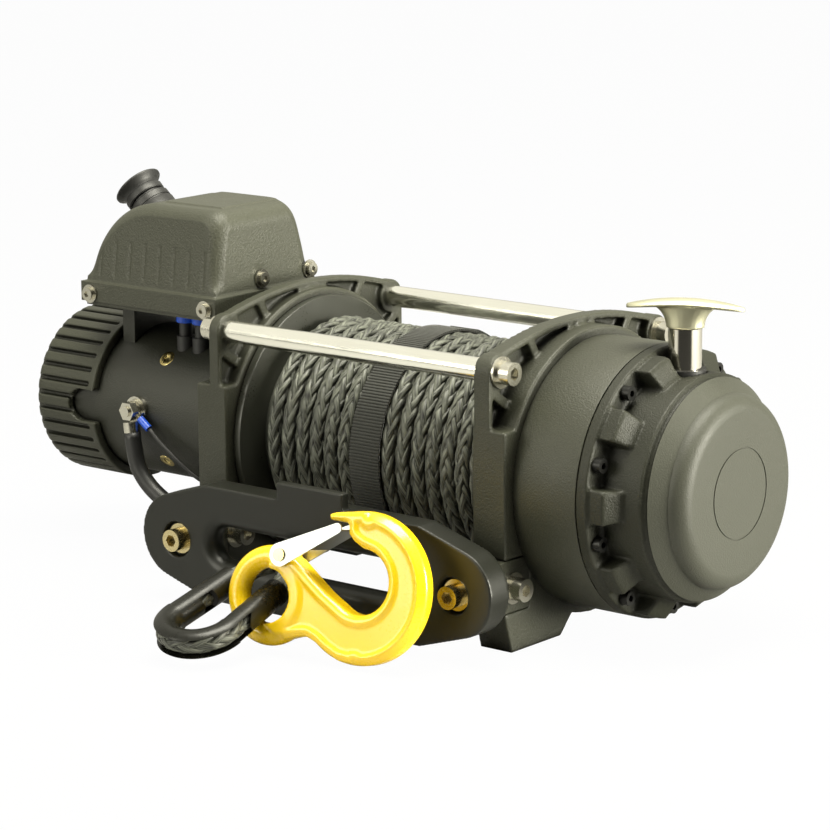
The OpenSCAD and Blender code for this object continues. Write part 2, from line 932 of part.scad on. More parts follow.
module gear_cover() {
    step_x = cover_x + cover_len;
    color([0.13, 0.13, 0.12])
        difference() {
            union() {
                cyl_x(housing_r, cover_x, cover_x + cover_band);
                cyl_x(cover_r, cover_x, step_x - step_w);
                cyl_x(cover_r - step_h, cover_x, step_x);
                for (i = [0:cover_lobes - 1])
                    translate([cover_x + cover_band, 0, axis_z])
                        rotate([(i + 0.5) * 360 / cover_lobes, 0, 0])
                            cover_lobe();
                cyl_z(collar_r + cover_wall, axis_z + cover_r - 2 * collar_h, collar_top - collar_h,
                    clutch_x, 0);
            }
            cyl_x(cover_r - cover_wall, cover_x - overrun, step_x + overrun);
            cyl_z(collar_r, collar_top - collar_h, collar_top + overrun, clutch_x, 0);
            cyl_z(clutch_pin_r + seat_gap, axis_z, collar_top, clutch_x, 0);
            for (i = [1:cover_lobes - 1])
                translate([cover_x, 0, axis_z])
                    rotate([i * 360 / cover_lobes, 0, 0])
                        translate([-overrun, 0, cover_bolt_orbit])
                            rotate([0, 90, 0])
                                cylinder(r = m6_r + fit_gap, h = cover_band + 2 * overrun, $fn = medium);
        }
}

module cover_bolts() {
    color([0.1, 0.1, 0.1])
        for (i = [1:cover_lobes - 1])
            translate([cover_x + cover_band, 0, axis_z])
                rotate([i * 360 / cover_lobes, 0, 0])
                    translate([0, 0, cover_bolt_orbit])
                        rotate([0, 90, 0])
                            socket_screw_shape(m6_r, m6_head_r, m6_head_h, cover_band,
                                m6_head_r / 2, m6_head_h / 2);
}

module gear_end_cap() {
    spigot_r = cover_r - cover_wall - fit_gap;
    tip_r = end_cap_r - end_cap_taper;
    straight = end_cap_len - end_cap_fillet;
    face_x = end_cap_x + end_cap_len;
    color([0.15, 0.15, 0.14])
        difference() {
            union() {
                translate([end_cap_x, 0, axis_z])
                    rotate([0, 90, 0])
                        rotate_extrude($fn = fine)
                            union() {
                                polygon([[0, 0], [end_cap_r, 0], [tip_r, straight], [0, straight]]);
                                square([tip_r - end_cap_fillet, end_cap_len]);
                                translate([tip_r - end_cap_fillet, straight])
                                    intersection() {
                                        circle(end_cap_fillet, $fn = medium);
                                        square(end_cap_fillet);
                                    }
                            }
                cyl_x(spigot_r, end_cap_x - step_w, end_cap_x + overrun);
            }
            difference() {
                cyl_x(emboss_r, face_x - emboss_depth, face_x + overrun);
                cyl_x(emboss_r - emboss_w, end_cap_x, face_x + overrun);
            }
            cyl_x(tip_r - 2 * end_cap_fillet, end_cap_x - step_w - overrun, end_cap_x + straight);
        }
}

// Clutch

module clutch_collar() {
    color([0.08, 0.08, 0.08])
        difference() {
            cyl_z(collar_r - fit_gap, collar_top - collar_h, collar_top, clutch_x, 0);
            cyl_z(clutch_r + fit_gap, collar_top - collar_h / 2, collar_top + overrun, clutch_x, 0);
            cyl_z(clutch_pin_r + fit_gap, collar_top - collar_h - overrun, collar_top, clutch_x, 0);
        }
}

module clutch_pin() {
    color([0.86, 0.85, 0.82])
        union() {
            cyl_z(clutch_r, collar_top - collar_h / 2, barrel_top, clutch_x, 0);
            cyl_z(clutch_pin_r, axis_z + sleeve_r - sleeve_t, barrel_top, clutch_x, 0);
        }
}

// Side view of the grip: a flat top, scooped undersides and a flared neck
module grip_outline() {
    top = handle_top - barrel_top;
    scoop_r = (handle_half - handle_neck_r) / 2;
    difference() {
        translate([-handle_half, 0])
            square([2 * handle_half, top]);
        for (side = [-1, 1]) {
            translate([side * (handle_half + handle_neck_r) / 2, top - handle_tip_t - scoop_r])
                circle(scoop_r, $fn = medium);
            translate([side * (handle_half + handle_neck_r) / 2 - scoop_r, -overrun])
                square([2 * scoop_r, top - handle_tip_t - scoop_r + overrun]);
            translate([side > 0 ? handle_half - handle_tip_t : -handle_half - overrun, -overrun])
                square([handle_tip_t + overrun, top - handle_tip_t + overrun]);
        }
    }
}

module clutch_handle() {
    color([0.8, 0.79, 0.74])
        translate([clutch_x, 0, barrel_top])
            rotate([0, 0, handle_angle])
                intersection() {
                    rotate([90, 0, 0])
                        translate([0, 0, -handle_w / 2])
                            linear_extrude(handle_w)
                                grip_outline();
                    cylinder(r = handle_half, h = handle_top - barrel_top, $fn = fine);
                }
}

// Control box, drawn from its own front left rim corner

box_x0 = box_x - box_l / 2;
dome_l = box_l - 2 * rim_step;

// Side view of the dome, with the motor end at zero
module dome_outline(inset) {
    intersection() {
        translate([inset, 0])
            square([dome_l - 2 * inset, dome_h - inset]);
        union() {
            translate([dome_r, 0])
                circle(dome_r - inset, $fn = fine);
            translate([dome_r, 0])
                square([dome_l - dome_r - dome_small_r, dome_h - inset]);
            translate([dome_r, 0])
                square([dome_l - dome_r - inset, dome_h - dome_small_r]);
            translate([dome_l - dome_small_r, dome_h - dome_small_r])
                circle(dome_small_r - inset, $fn = medium);
        }
    }
}

module dome(inset) {
    z0 = rim_z + rim_h;
    y0 = box_front + rim_step + inset;
    y1 = box_front + box_w - rim_step - inset;
    intersection() {
        translate([box_x0 + rim_step, box_front + box_w, z0])
            rotate([90, 0, 0])
                linear_extrude(box_w)
                    dome_outline(inset);
        extrude_x(box_x0, box_x0 + box_l)
            polygon([[y0, z0], [y1, z0], [y1 - back_lean, z0 + dome_h], [y0 + front_lean, z0 + dome_h]]);
    }
}

module box_cover() {
    z0 = rim_z + rim_h;
    inner = rim_step + box_wall;
    color([0.12, 0.12, 0.11])
        difference() {
            union() {
                translate([box_x0, box_front, rim_z])
                    cube([box_l, box_w, rim_h]);
                dome(0);
                translate([box_x0 + rim_step + dome_r, box_front + (box_w - panel_w) / 2,
                        z0 + dome_h - box_wall])
                    cube([panel_l, panel_w, box_wall + panel_t]);
            }
            translate([box_x0 + box_wall, box_front + box_wall, rim_z - overrun])
                cube([box_l - 2 * box_wall, box_w - 2 * box_wall, rim_h + overrun - box_wall]);
            translate([box_x0 + inner, box_front + inner, rim_z])
                cube([box_l - 2 * inner, box_w - 2 * inner, rim_h]);
            dome(box_wall);
            for (i = [0:groove_count - 1])
                translate([box_x0 + rim_step + groove_pitch * (i + 0.5) + groove_lift,
                        box_front + rim_step, z0])
                    rotate([-atan(front_lean / dome_h), 0, 0])
                        translate([0, -overrun, groove_lift])
                            cube([groove_w, groove_depth + overrun, groove_l]);
            box_screw_places()
                translate([0, 0, -box_wall - overrun])
                    cylinder(r = m6_r + fit_gap, h = box_wall + 2 * overrun, $fn = medium);
            socket_place()
                translate([0, 0, -2 * box_wall])
                    cylinder(r = socket_bore_r + seat_gap, h = 3 * box_wall, $fn = medium);
        }
}

// The four cover screws: two face the front, two face the drum. Local Z points out of the box.
module box_screw_places() {
    for (x = [box_x0 + box_screw_in, box_x0 + box_l - box_screw_in])
        translate([x, box_front, rim_z + box_screw_z])
            rotate([90, 0, 0])
                children();
    for (y = box_side_screw_y)
        translate([box_x0 + box_l - rim_step, y, rim_z + rim_h + box_side_screw_z])
            rotate([0, 90, 0])
                children();
}

module box_screws() {
    color([0.8, 0.78, 0.7])
        box_screw_places() {
            washer(box_screw_flange_r, m6_r, box_screw_flange_t);
            translate([0, 0, box_screw_flange_t])
                socket_screw_shape(m6_r, m6_head_r, m6_head_h / 2, box_wall + box_screw_flange_t,
                    m6_head_r / 2, m6_head_h / 4);
        }
}

module box_base() {
    color([0.1, 0.1, 0.1])
        translate([box_x0 + box_wall, box_front + box_wall, rim_z - base_t])
            cube([box_l - 2 * box_wall, box_w - 2 * box_wall, base_t]);
}

module box_bracket() {
    plate_z = rim_z - base_t - bracket_t;
    color([0.1, 0.1, 0.1])
        difference() {
            union() {
                translate([saddle_x[0] - saddle_w, -saddle_half, plate_z])
                    cube([saddle_x[1] - saddle_x[0] + 2 * saddle_w, 2 * saddle_half, bracket_t]);
                for (x = saddle_x)
                    translate([x - saddle_w / 2, -saddle_half, axis_z])
                        cube([saddle_w, 2 * saddle_half, plate_z - axis_z + overrun]);
            }
            cyl_x(motor_r, cap_open, left_out);
            cyl_x(cap_r + seat_gap, cap_floor, cap_open + seat_gap);
            for (x = lead_x)
                cyl_z(lead_r + seat_gap, axis_z, rim_z, x, lead_y);
        }
}

module contactor() {
    color([0.3, 0.3, 0.3])
        translate([box_x - contactor_l / 2 + dome_small_r, box_front + (box_w - contactor_w) / 2, rim_z])
            cube([contactor_l, contactor_w, contactor_h]);
}

// Remote socket on the rounded end of the dome. Local Z points out of the socket.

module socket_place() {
    translate([box_x0 + rim_step + dome_r, socket_y, rim_z + rim_h])
        rotate([0, -socket_tilt, 0])
            translate([0, 0, dome_r])
                children();
}

module remote_socket() {
    color([0.12, 0.12, 0.12])
        socket_place()
            difference() {
                union() {
                    translate([0, 0, -2 * box_wall])
                        cylinder(r = socket_bore_r, h = socket_body_h + 2 * box_wall, $fn = medium);
                    difference() {
                        translate([0, 0, -socket_flange_h])
                            cylinder(r1 = socket_base_r, r2 = socket_neck_r,
                                h = socket_body_h + socket_flange_h, $fn = medium);
                        translate([0, 0, -dome_r])
                            rotate([90, 0, 0])
                                cylinder(r = dome_r, h = box_w, center = true, $fn = 2 * fine);
                    }
                }
                translate([0, 0, socket_body_h / 2])
                    cylinder(r = socket_bore_r - box_wall, h = socket_body_h, $fn = medium);
            }
}

module socket_cap() {
    color([0.1, 0.1, 0.1])
        socket_place()
            translate([0, 0, socket_body_h + seat_gap])
                union() {
                    cylinder(r1 = plug_skirt_r, r2 = plug_cap_r, h = plug_cap_h, $fn = medium);
                    translate([0, 0, plug_cap_h])
                        cylinder(r = plug_cap_r, h = plug_cap_disc, $fn = medium);
                }
}

module socket_screw() {
    color([0.8, 0.78, 0.7])
        socket_place()
            translate([-socket_base_r, 0, socket_flange_h])
                rotate([0, -90, 0])
                    cylinder(r = m6_r, h = m6_head_h, $fn = medium);
}

// Fairlead

// Where a line from p touches the circle at c on its outer side
function touch_point(p, c, r, side) =
    let (d = c - p, gap = norm(d), lift = asin(r / gap), dir = atan2(d[1], d[0]) + side * lift)
    p + sqrt(gap * gap - r * r) * [cos(dir), sin(dir)];

module fairlead_outline() {
    top = fairlead_h / 2;
    end = [lobe_end_x, 0];
    upper = touch_point([fairlead_flat, top], end, lobe_end_r, 1);
    for (side = [-1, 1])
        translate([side * lobe_end_x, 0])
            circle(lobe_end_r, $fn = fine);
    polygon([[-fairlead_flat, top], [fairlead_flat, top], upper, [upper[0], -upper[1]],
        [fairlead_flat, -top], [-fairlead_flat, -top], [-upper[0], -upper[1]], [-upper[0], upper[1]]]);
}

module window_roll() {
    for (side = [-1, 1]) {
        translate([-window_half, 0, side * window_r])
            rotate([0, 90, 0])
                cylinder(r = roll_r, h = 2 * window_half, $fn = medium);
        translate([side * window_half, 0, 0])
            rotate([90, 0, 0])
                rotate([0, 0, side > 0 ? -90 : 90])
                    rotate_extrude(angle = 180, $fn = fine)
                        translate([window_r, 0])
                            circle(roll_r, $fn = medium);
    }
}

module fairlead() {
    mid_y = -fairlead_front + roll_r;
    color([0.16, 0.16, 0.16])
        difference() {
            translate([0, mid_y, fairlead_mid_z])
                union() {
                    difference() {
                        rotate([90, 0, 0])
                            translate([0, 0, -roll_r])
                                linear_extrude(fairlead_t)
                                    fairlead_outline();
                        rotate([90, 0, 0])
                            translate([0, 0, -roll_r - overrun])
                                linear_extrude(fairlead_t + 2 * overrun) {
                                    translate([-window_half, -window_r])
                                        square([2 * window_half, 2 * window_r]);
                                    for (side = [-1, 1])
                                        translate([side * window_half, 0])
                                            circle(window_r, $fn = fine);
                                }
                    }
                    window_roll();
                    translate([-plate_half, -roll_r, fairlead_h / 2 - overrun])
                        cube([2 * plate_half, plate_t, plate_rise + overrun]);
                }
            for (side = [-1, 1]) {
                cyl_y(m10_r + m10_clear, -fairlead_front - overrun, fairlead_t - fairlead_front + overrun,
                    side * fairlead_span / 2, fairlead_bolt_z);
                cyl_y(bolt_recess_r, -fairlead_front - overrun, bolt_recess_h - fairlead_front,
                    side * fairlead_span / 2, fairlead_bolt_z);
            }
        }
}

module fairlead_bolts() {
    color([0.75, 0.66, 0.42])
        for (side = [-1, 1])
            translate([side * fairlead_span / 2, bolt_recess_h - fairlead_front, fairlead_bolt_z])
                rotate([90, 0, 0])
                    m10_set(fairlead_bolt_len);
}

module adapter_block(x0, open_side) {
    difference() {
        union() {
            translate([x0, -fairlead_front + fairlead_t, adapter_z[0]])
                cube([frame_w, fairlead_front - fairlead_t - frame_half, adapter_z[1] - adapter_z[0]]);
            translate([x0 + (open_side > 0 ? 0 : adapter_cheek), -frame_half - overrun, adapter_z[0]])
                cube([frame_w - adapter_cheek, adapter_depth + overrun, adapter_z[1] - adapter_z[0]]);
        }
        cyl_x(m10_r + fit_gap, x0 - overrun, x0 + frame_w + overrun, -adapter_screw_y, adapter_screw_z,
            medium);
        cyl_y(m10_r + fit_gap, -fairlead_front, bolt_recess_h + fairlead_bolt_len - fairlead_front,
            x0 + frame_w / 2, fairlead_bolt_z);
    }
}

module adapter_blocks() {
    color([0.14, 0.14, 0.14]) {
        adapter_block(left_out, 1);
        adapter_block(right_in, -1);
    }
}

module adapter_screws() {
    color([0.8, 0.82, 0.84])
        for (x = [left_in, right_out])
            translate([x, -adapter_screw_y, adapter_screw_z])
                rotate([0, 90, 0])
                    m10_set(frame_w);
}

// Thimble and the rope eye inside it

leg_start = crown_arc_r * [cos(leg_angle), sin(leg_angle)];
leg_dir = [-sin(leg_angle), cos(leg_angle)];

module thimble_place() {
    translate(thimble_at)
        rotate([0, 0, thimble_yaw])
            rotate([thimble_pitch, 0, 0])
                rotate([0, thimble_roll, 0])
                    children();
}

// A rod of radius r in the plane of the thimble, from a to b
module plane_rod(r, a, b) {
    translate([a[0], a[1], 0])
        rotate([0, 0, atan2(b[1] - a[1], b[0] - a[0])])
            rotate([0, 90, 0])
                cylinder(r = r, h = norm(b - a), $fn = medium);
}

// A point on a leg's centre line, at a distance from where the crown ends
function leg_point(side, at) =
    [side * (leg_start[0] + at * leg_dir[0]), leg_start[1] + at * leg_dir[1]];

module crown_sweep() {
    rotate([0, 0, 180 - leg_angle])
        rotate_extrude(angle = 180 + 2 * leg_angle, $fn = fine)
            translate([crown_arc_r, 0])
                children();
}

module thimble() {
    color([0.13, 0.13, 0.13])
        thimble_place()
            difference() {
                union() {
                    crown_sweep()
                        circle(channel_r, $fn = medium);
                    for (side = [-1, 1])
                        plane_rod(tube_r, leg_point(side, 0), leg_point(side, leg_len));
                }
                rotate_extrude($fn = fine)
                    translate([crown_arc_r, -eye_rope_r - fit_gap])
                        square([channel_r + overrun, 2 * (eye_rope_r + fit_gap)]);
                crown_sweep()
                    circle(eye_rope_r + fit_gap, $fn = medium);
                for (side = [-1, 1])
                    plane_rod(eye_rope_r, leg_point(side, -overrun), leg_point(side, leg_len + overrun));
            }
}

// The two legs of the eye end side by side in the splice, one a hair thinner than the other
module rope_eye() {
    splice = [0, splice_reach];
    color([0.3, 0.3, 0.28])
        thimble_place()
            union() {
                crown_sweep()
                    circle(eye_rope_r, $fn = medium);
                for (side = [-1, 1]) {
                    plane_rod(eye_leg_r, leg_point(side, -overrun), leg_point(side, bend_at + 2 * overrun));
                    plane_rod(rope_r - side * fit_gap, leg_point(side, bend_at),
                        splice - [side * overrun, splice_len / 2]);
                }
                plane_rod(splice_r, splice - [0, splice_len], splice);
            }
}

// Hook

module hook_place() {
    translate(hook_at)
        rotate([90 - hook_lean, 0, hook_turn])
            children();
}

// The open space between the eye and the tip, in shares of the size of the hook
throat_shares = [[0.735, 0.413], [0.66, 0.45], [0.61, 0.495], [0.6, 0.57], [0.45, 0.575], [0.44, 0.7],
    [0, 0.7], [0, -0.3], [0.27, -0.25], [0.2, 0.28], [0.46, 0.09], [0.62, 0], [0.735, 0.1]];
// The tip beside the latch, in shares of the size of the hook
tip_shares = [[0.44, 0.615], [0.49, 0.632], [0.61, 0.65], [0.735, 0.665], [0.78, 0.6], [0.78, 0.408],
    [0.735, 0.413], [0.66, 0.45], [0.61, 0.495], [0.6, 0.57], [0.45, 0.575]];
// The shank under the eye, in shares of the size of the hook
shank_shares = [[0.12, 0.29], [0.2, 0.28], [0.46, 0.09], [0.62, 0], [0.76, -0.04], [0.76, -0.37],
    [0.62, -0.36], [0.51, -0.315], [0.42, -0.26], [0.35, -0.235], [0.27, -0.25], [0.18, -0.28],
    [0, -0.2], [0, 0.24]];

// A disc whose rim is chamfered on both faces; a negative chamfer flares it instead
module chamfered_disc(r, t, chamfer) {
    rotate_extrude($fn = fine)
        polygon([[0, -t / 2], [r - chamfer, -t / 2], [r, abs(chamfer) - t / 2], [r, t / 2 - abs(chamfer)],
            [r - chamfer, t / 2], [0, t / 2]]);
}

module hook() {
    color([0.95, 0.75, 0.1])
        hook_place()
            difference() {
                union() {
                    difference() {
                        translate([hook_round_at[0], hook_round_at[1], 0])
                            chamfered_disc(hook_round_r, hook_t, hook_chamfer);
                        translate([0, 0, -hook_t])
                            linear_extrude(2 * hook_t)
                                polygon(hook_size * throat_shares);
                    }
                    translate([0, 0, -hook_t / 2])
                        linear_extrude(hook_t)
                            polygon(hook_size * tip_shares);
                    translate([0, 0, -hook_t / 2])
                        linear_extrude(hook_t)
                            polygon(hook_size * shank_shares);
                    rotate_extrude($fn = fine)
                        translate([eye_r + eye_ring_r, 0])
                            circle(eye_ring_r, $fn = medium);
                    translate([latch_at[0], latch_at[1], -hook_t / 2])
                        cylinder(r = latch_boss_r, h = hook_t, $fn = medium);
                }
                translate([0, 0, -hook_t])
                    cylinder(r = eye_r, h = 2 * hook_t, $fn = fine);
                translate([bowl_at[0], bowl_at[1], 0])
                    chamfered_disc(bowl_r, hook_t + 2 * fit_gap, -bowl_chamfer);
                translate([latch_at[0], latch_at[1], -hook_t])
                    cylinder(r = latch_pin_r + fit_gap, h = 2 * hook_t, $fn = medium);
            }
}

// The latch in the hook's frame, turned to lie along +X
module latch_frame() {
    translate([latch_at[0], latch_at[1], 0])
        rotate([0, 0, latch_angle])
            children();
}

module latch_side_view() {
    hull() {
        circle(latch_end_r, $fn = 32);
        translate([latch_len, 0])
            circle(latch_tip_r, $fn = 32);
    }
}

module latch() {
    half = hook_t / 2 + latch_gap + latch_t;
    color([0.85, 0.86, 0.86])
        hook_place()
            latch_frame()
                difference() {
                    translate([0, 0, -half])
                        linear_extrude(2 * half)
                            latch_side_view();
                    translate([-2 * latch_end_r, latch_t - latch_tip_r, -half + latch_t])
                        cube([latch_len + 4 * latch_end_r, 4 * latch_end_r, 2 * (half - latch_t)]);
                    translate([-2 * latch_end_r, -2 * latch_end_r, -half + latch_t])
                        cube([2 * latch_end_r + latch_floor_at, 4 * latch_end_r, 2 * (half - latch_t)]);
                    translate([0, 0, -half - overrun])
                        cylinder(r = latch_pin_r + fit_gap, h = 2 * (half + overrun), $fn = medium);
                }
}

module latch_pin() {
    half = hook_t / 2 + latch_gap + latch_t;
    color([0.7, 0.66, 0.5])
        hook_place()
            latch_frame()
                union() {
                    translate([0, 0, -half])
                        cylinder(r = latch_pin_r, h = 2 * half, $fn = medium);
                    for (side = [-1, 1])
                        translate([0, 0, side > 0 ? half : -half - latch_head_h])
                            cylinder(r = latch_head_r, h = latch_head_h, $fn = medium);
                }
}

module latch_spring() {
    color([0.7, 0.7, 0.7])
        hook_place()
            latch_frame()
                translate([0, 0, hook_t / 2 + fit_gap])
                    washer(spring_r, latch_pin_r + fit_gap, spring_w);
}

// Battery cable: the lug, the run to the floor behind the motor, and two layers of coil

module battery_cable() {
    color([0.07, 0.07, 0.07])
        swept_tube(cable_route, cable_r, cable_sides, [1, 0, 0]);
}

coil_pitch = cable_d + coil_gap;
coil_steps = rings_per_turn * 2 * coil_turns;

// Centre of the coil at a number of turns: in along the floor, up a layer, and out again
function coil_point(turn) =
    let (half = coil_turns, inward = min(turn, 2 * half - turn),
        r = coil_out_r - coil_pitch * inward,
        climb = min(max((turn - half + climb_turns) / (2 * climb_turns), 0), 1),
        a = 180 + 360 * turn)
    [coil_at[0] + r * cos(a), coil_at[1] + r * sin(a) * -1, cable_r + coil_pitch * climb];

coil_path = concat(
    [coil_point(0) - [0, cable_d, 0]],
    [for (i = [0:coil_steps]) coil_point(i / rings_per_turn)],
    [coil_point(2 * coil_turns) + [0, cable_d, 0]]);

function coil_clearance() =
    min([for (i = [0:coil_steps], k = [0:coil_steps])
        if (k - i > rings_per_turn / 2) norm(coil_path[i] - coil_path[k])]) - cable_d;
echo(coil_gap_measured = coil_clearance());

module cable_coil() {
    color([0.07, 0.07, 0.07])
        swept_tube(coil_path, cable_r, coil_sides, [0, 0, 1]);
}

// A ring lug lying along +X from its hole at the origin, its flat on zero
module ring_lug() {
    difference() {
        union() {
            cylinder(r = lug_r, h = lug_t, $fn = medium);
            translate([0, -lug_r / 2, 0])
                cube([lug_r + lug_barrel_wall, lug_r, lug_t]);
            translate([lug_r, 0, cable_r])
                rotate([0, 90, 0])
                    cylinder(r = cable_r, h = lug_barrel_l, $fn = medium);
        }
        translate([0, 0, -overrun])
            cylinder(r = lug_hole_r, h = lug_t + 2 * overrun, $fn = medium);
    }
}

module cable_lugs() {
    coil_end = coil_path[len(coil_path) - 1];
    color([0.8, 0.79, 0.74]) {
        translate([stud_x, -motor_r - stud_base_h, stud_z])
            rotate([0, 90 - lug_tilt, 0])
                rotate([90, 0, 0])
                    ring_lug();
        translate([coil_end[0], coil_end[1] + lug_r + lug_barrel_l, coil_end[2] - cable_r])
            rotate([0, 0, -90])
                ring_lug();
        translate([stud_x, -motor_r - stud_base_h - lug_t, stud_z])
            rotate([0, crimp_tilt, 0])
                rotate([90, 0, 0])
                    difference() {
                        union() {
                            cylinder(r = tag_r, h = tag_t, $fn = medium);
                            translate([0, -crimp_r / 2, 0])
                                cube([crimp_at, crimp_r, tag_t]);
                        }
                        translate([0, 0, -overrun])
                            cylinder(r = lug_hole_r, h = tag_t + 2 * overrun, $fn = medium);
                    }
    }
}

module earth_wire() {
    color([0.08, 0.08, 0.08])
        swept_tube(wire_route, wire_r, cable_sides, [1, 0, 0]);
}

module earth_crimp() {
    color([0.1, 0.3, 0.8])
        translate([stud_x, wire_route[0][1], stud_z])
            rotate([0, crimp_tilt, 0])
                translate([crimp_at, 0, 0])
                    rotate([0, 90, 0])
                        cylinder(r = crimp_r, h = crimp_l, $fn = medium);
}

left_frame();
right_frame();
tie_rods();
tie_rod_screws();
foot_nuts();
motor_tube();
motor_end_cap();
motor_screws();
terminal_stud();
motor_leads();
armature();
drum();
drum_bushes();
rope_core();
rope_winding();
rope_strap();
rope_run();
rope_eye();
ring_gear_housing();
ring_gear();
gear_cover();
cover_bolts();
gear_end_cap();
output_carrier();
first_carrier();
planet(stage1_x, planet_h1, 0);  // planet_1a
planet(stage1_x, planet_h1, 120);  // planet_1b
planet(stage1_x, planet_h1, 240);  // planet_1c
planet(stage2_x, planet_h2, 0);  // planet_2a
planet(stage2_x, planet_h2, 120);  // planet_2b
planet(stage2_x, planet_h2, 240);  // planet_2c
clutch_collar();
clutch_pin();
clutch_handle();
box_bracket();
box_base();
box_cover();
box_screws();
contactor();
remote_socket();
socket_cap();
socket_screw();
fairlead();
fairlead_bolts();
adapter_blocks();
adapter_screws();
thimble();
hook();
latch();
latch_pin();
latch_spring();
battery_cable();
cable_coil();
cable_lugs();
earth_wire();
earth_crimp();
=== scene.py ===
import logging
import math
from dataclasses import dataclass, field
from enum import Enum
from typing import Iterable, Sequence

import bmesh
import bpy
import numpy as np
from mathutils import Matrix, Vector
from mathutils.kdtree import KDTree


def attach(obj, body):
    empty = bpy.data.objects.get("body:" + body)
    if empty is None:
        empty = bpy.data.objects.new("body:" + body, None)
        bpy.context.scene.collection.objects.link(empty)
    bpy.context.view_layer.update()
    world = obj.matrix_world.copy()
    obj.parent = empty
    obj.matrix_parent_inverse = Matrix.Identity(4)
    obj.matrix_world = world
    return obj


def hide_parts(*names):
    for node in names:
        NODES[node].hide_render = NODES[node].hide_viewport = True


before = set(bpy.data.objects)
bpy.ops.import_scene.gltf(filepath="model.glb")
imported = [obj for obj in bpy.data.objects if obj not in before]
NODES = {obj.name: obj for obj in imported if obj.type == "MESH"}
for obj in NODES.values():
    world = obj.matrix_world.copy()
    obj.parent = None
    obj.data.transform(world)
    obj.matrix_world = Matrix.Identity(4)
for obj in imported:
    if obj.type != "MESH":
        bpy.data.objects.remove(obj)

LOG = logging.getLogger("winch")
MM = 0.001
# Blurred normals shorter than the first value mark a big edge, and longer than the second a flat side
FLATNESS = (0.84, 0.95)
NORMAL_PASSES = 90
AXIS_Z = 111 * MM

Tree, Node, Socket = bpy.types.NodeTree, bpy.types.Node, bpy.types.NodeSocket
Material, Thing = bpy.types.Material, bpy.types.Object
Skins = dict[str, Material]
Pairs = Sequence[tuple[float, float]]
WHITE, BLACK = (1.0, 1.0, 1.0, 1.0), (0.0, 0.0, 0.0, 1.0)


class Way(Enum):
    """Direction in which a strand runs round the rope."""

    RIGHT = 1
    LEFT = -1


class Coordinates(Enum):
    """Where a finish reads its pattern."""

    OBJECT = "Object"
    UV = "UV"


# Small tools for colours, nodes and meshes


def hex_colour(text: str) -> tuple[float, float, float, float]:
    """Turns an sRGB hex colour into a linear one.

    Args:
        text: Colour written as #rrggbb.

    Returns:
        Red, green, blue and alpha, linear.
    """
    parts = [int(text[i : i + 2], 16) / 255 for i in (1, 3, 5)]
    linear = [v / 12.92 if v <= 0.04045 else ((v + 0.055) / 1.055) ** 2.4 for v in parts]
    return (linear[0], linear[1], linear[2], 1.0)


def add_node(tree: Tree, kind: str, settings: dict | None = None, links: dict | None = None) -> Node:
    """Adds a node with its settings and links.

    Args:
        tree: Tree that gets the node.
        kind: Blender's name of the node type.
        settings: Properties by name, or socket values by the socket's name or number.
        links: Source sockets by the name or number of the input that they feed.

    Returns:
        The new node.
    """
    node = tree.nodes.new(kind)
    for key, value in (settings or {}).items():
        if isinstance(key, str) and hasattr(node, key):
            setattr(node, key, value)
        else:
            node.inputs[key].default_value = value
    for key, source in (links or {}).items():
        tree.links.new(source, node.inputs[key])
    return node


def figured(tree: Tree, operation: str, *values: Socket | float) -> Socket:
    """Does one step of arithmetic on sockets and numbers."""
    node = add_node(tree, "ShaderNodeMath", {"operation": operation})
    for place, value in enumerate(values):
        if isinstance(value, Socket):
            tree.links.new(value, node.inputs[place])
        else:
            node.inputs[place].default_value = value
    return node.outputs[0]


def ranged(tree: Tree, value: Socket, came: tuple[float, float],
           goes: tuple[float, float] = (0.0, 1.0)) -> Socket:
    """Maps one range of a value to another and holds it there."""
    node = add_node(tree, "ShaderNodeMapRange", {"From Min": came[0], "From Max": came[1],
                                                 "To Min": goes[0], "To Max": goes[1]}, {"Value": value})
    return node.outputs[0]


def blend(tree: Tree, share: Socket, low: Socket | tuple, high: Socket | tuple) -> Socket:
    """Mixes two colours.

    Args:
        tree: Tree that gets the node.
        share: Part that the second colour takes.
        low: First colour, or the socket that gives it.
        high: Second colour, or the socket that gives it.

    Returns:
        The mixed colour.
    """
    node = add_node(tree, "ShaderNodeMix", {"data_type": "RGBA"}, {0: share})
    for socket, colour in ((node.inputs[6], low), (node.inputs[7], high)):
        if isinstance(colour, Socket):
            tree.links.new(colour, socket)
        else:
            socket.default_value = colour
    return node.outputs[2]


def unit(v: np.ndarray) -> np.ndarray:
    """Scales each row of v to length one."""
    return v / np.maximum(np.linalg.norm(v, axis=-1, keepdims=True), 1e-12)


def smooth_path(points: Sequence[Sequence[float]], step: float) -> np.ndarray:
    """Lays one smooth curve through given points.

    Args:
        points: Points of the route, in metres.
        step: Distance between the points that come back.

    Returns:
        Evenly spaced points along a centripetal spline.
    """
    p = np.asarray(points, float)
    p = np.vstack([2 * p[0] - p[1], p, 2 * p[-1] - p[-2]])
    out = []
    for i in range(1, len(p) - 2):
        a, b, c, d = p[i - 1 : i + 3]
        t1 = np.linalg.norm(b - a) ** 0.5
        t2 = t1 + np.linalg.norm(c - b) ** 0.5
        t3 = t2 + np.linalg.norm(d - c) ** 0.5
        t = np.linspace(t1, t2, 24, endpoint=False)[:, None]
        a1 = (t1 - t) / t1 * a + t / t1 * b
        a2 = (t2 - t) / (t2 - t1) * b + (t - t1) / (t2 - t1) * c
        a3 = (t3 - t) / (t3 - t2) * c + (t - t2) / (t3 - t2) * d
        b1 = (t2 - t) / t2 * a1 + t / t2 * a2
        b2 = (t3 - t) / (t3 - t1) * a2 + (t - t1) / (t3 - t1) * a3
        out.append((t2 - t) / (t2 - t1) * b1 + (t - t1) / (t2 - t1) * b2)
    return even_path(np.vstack(out + [p[-2:-1]]), step)


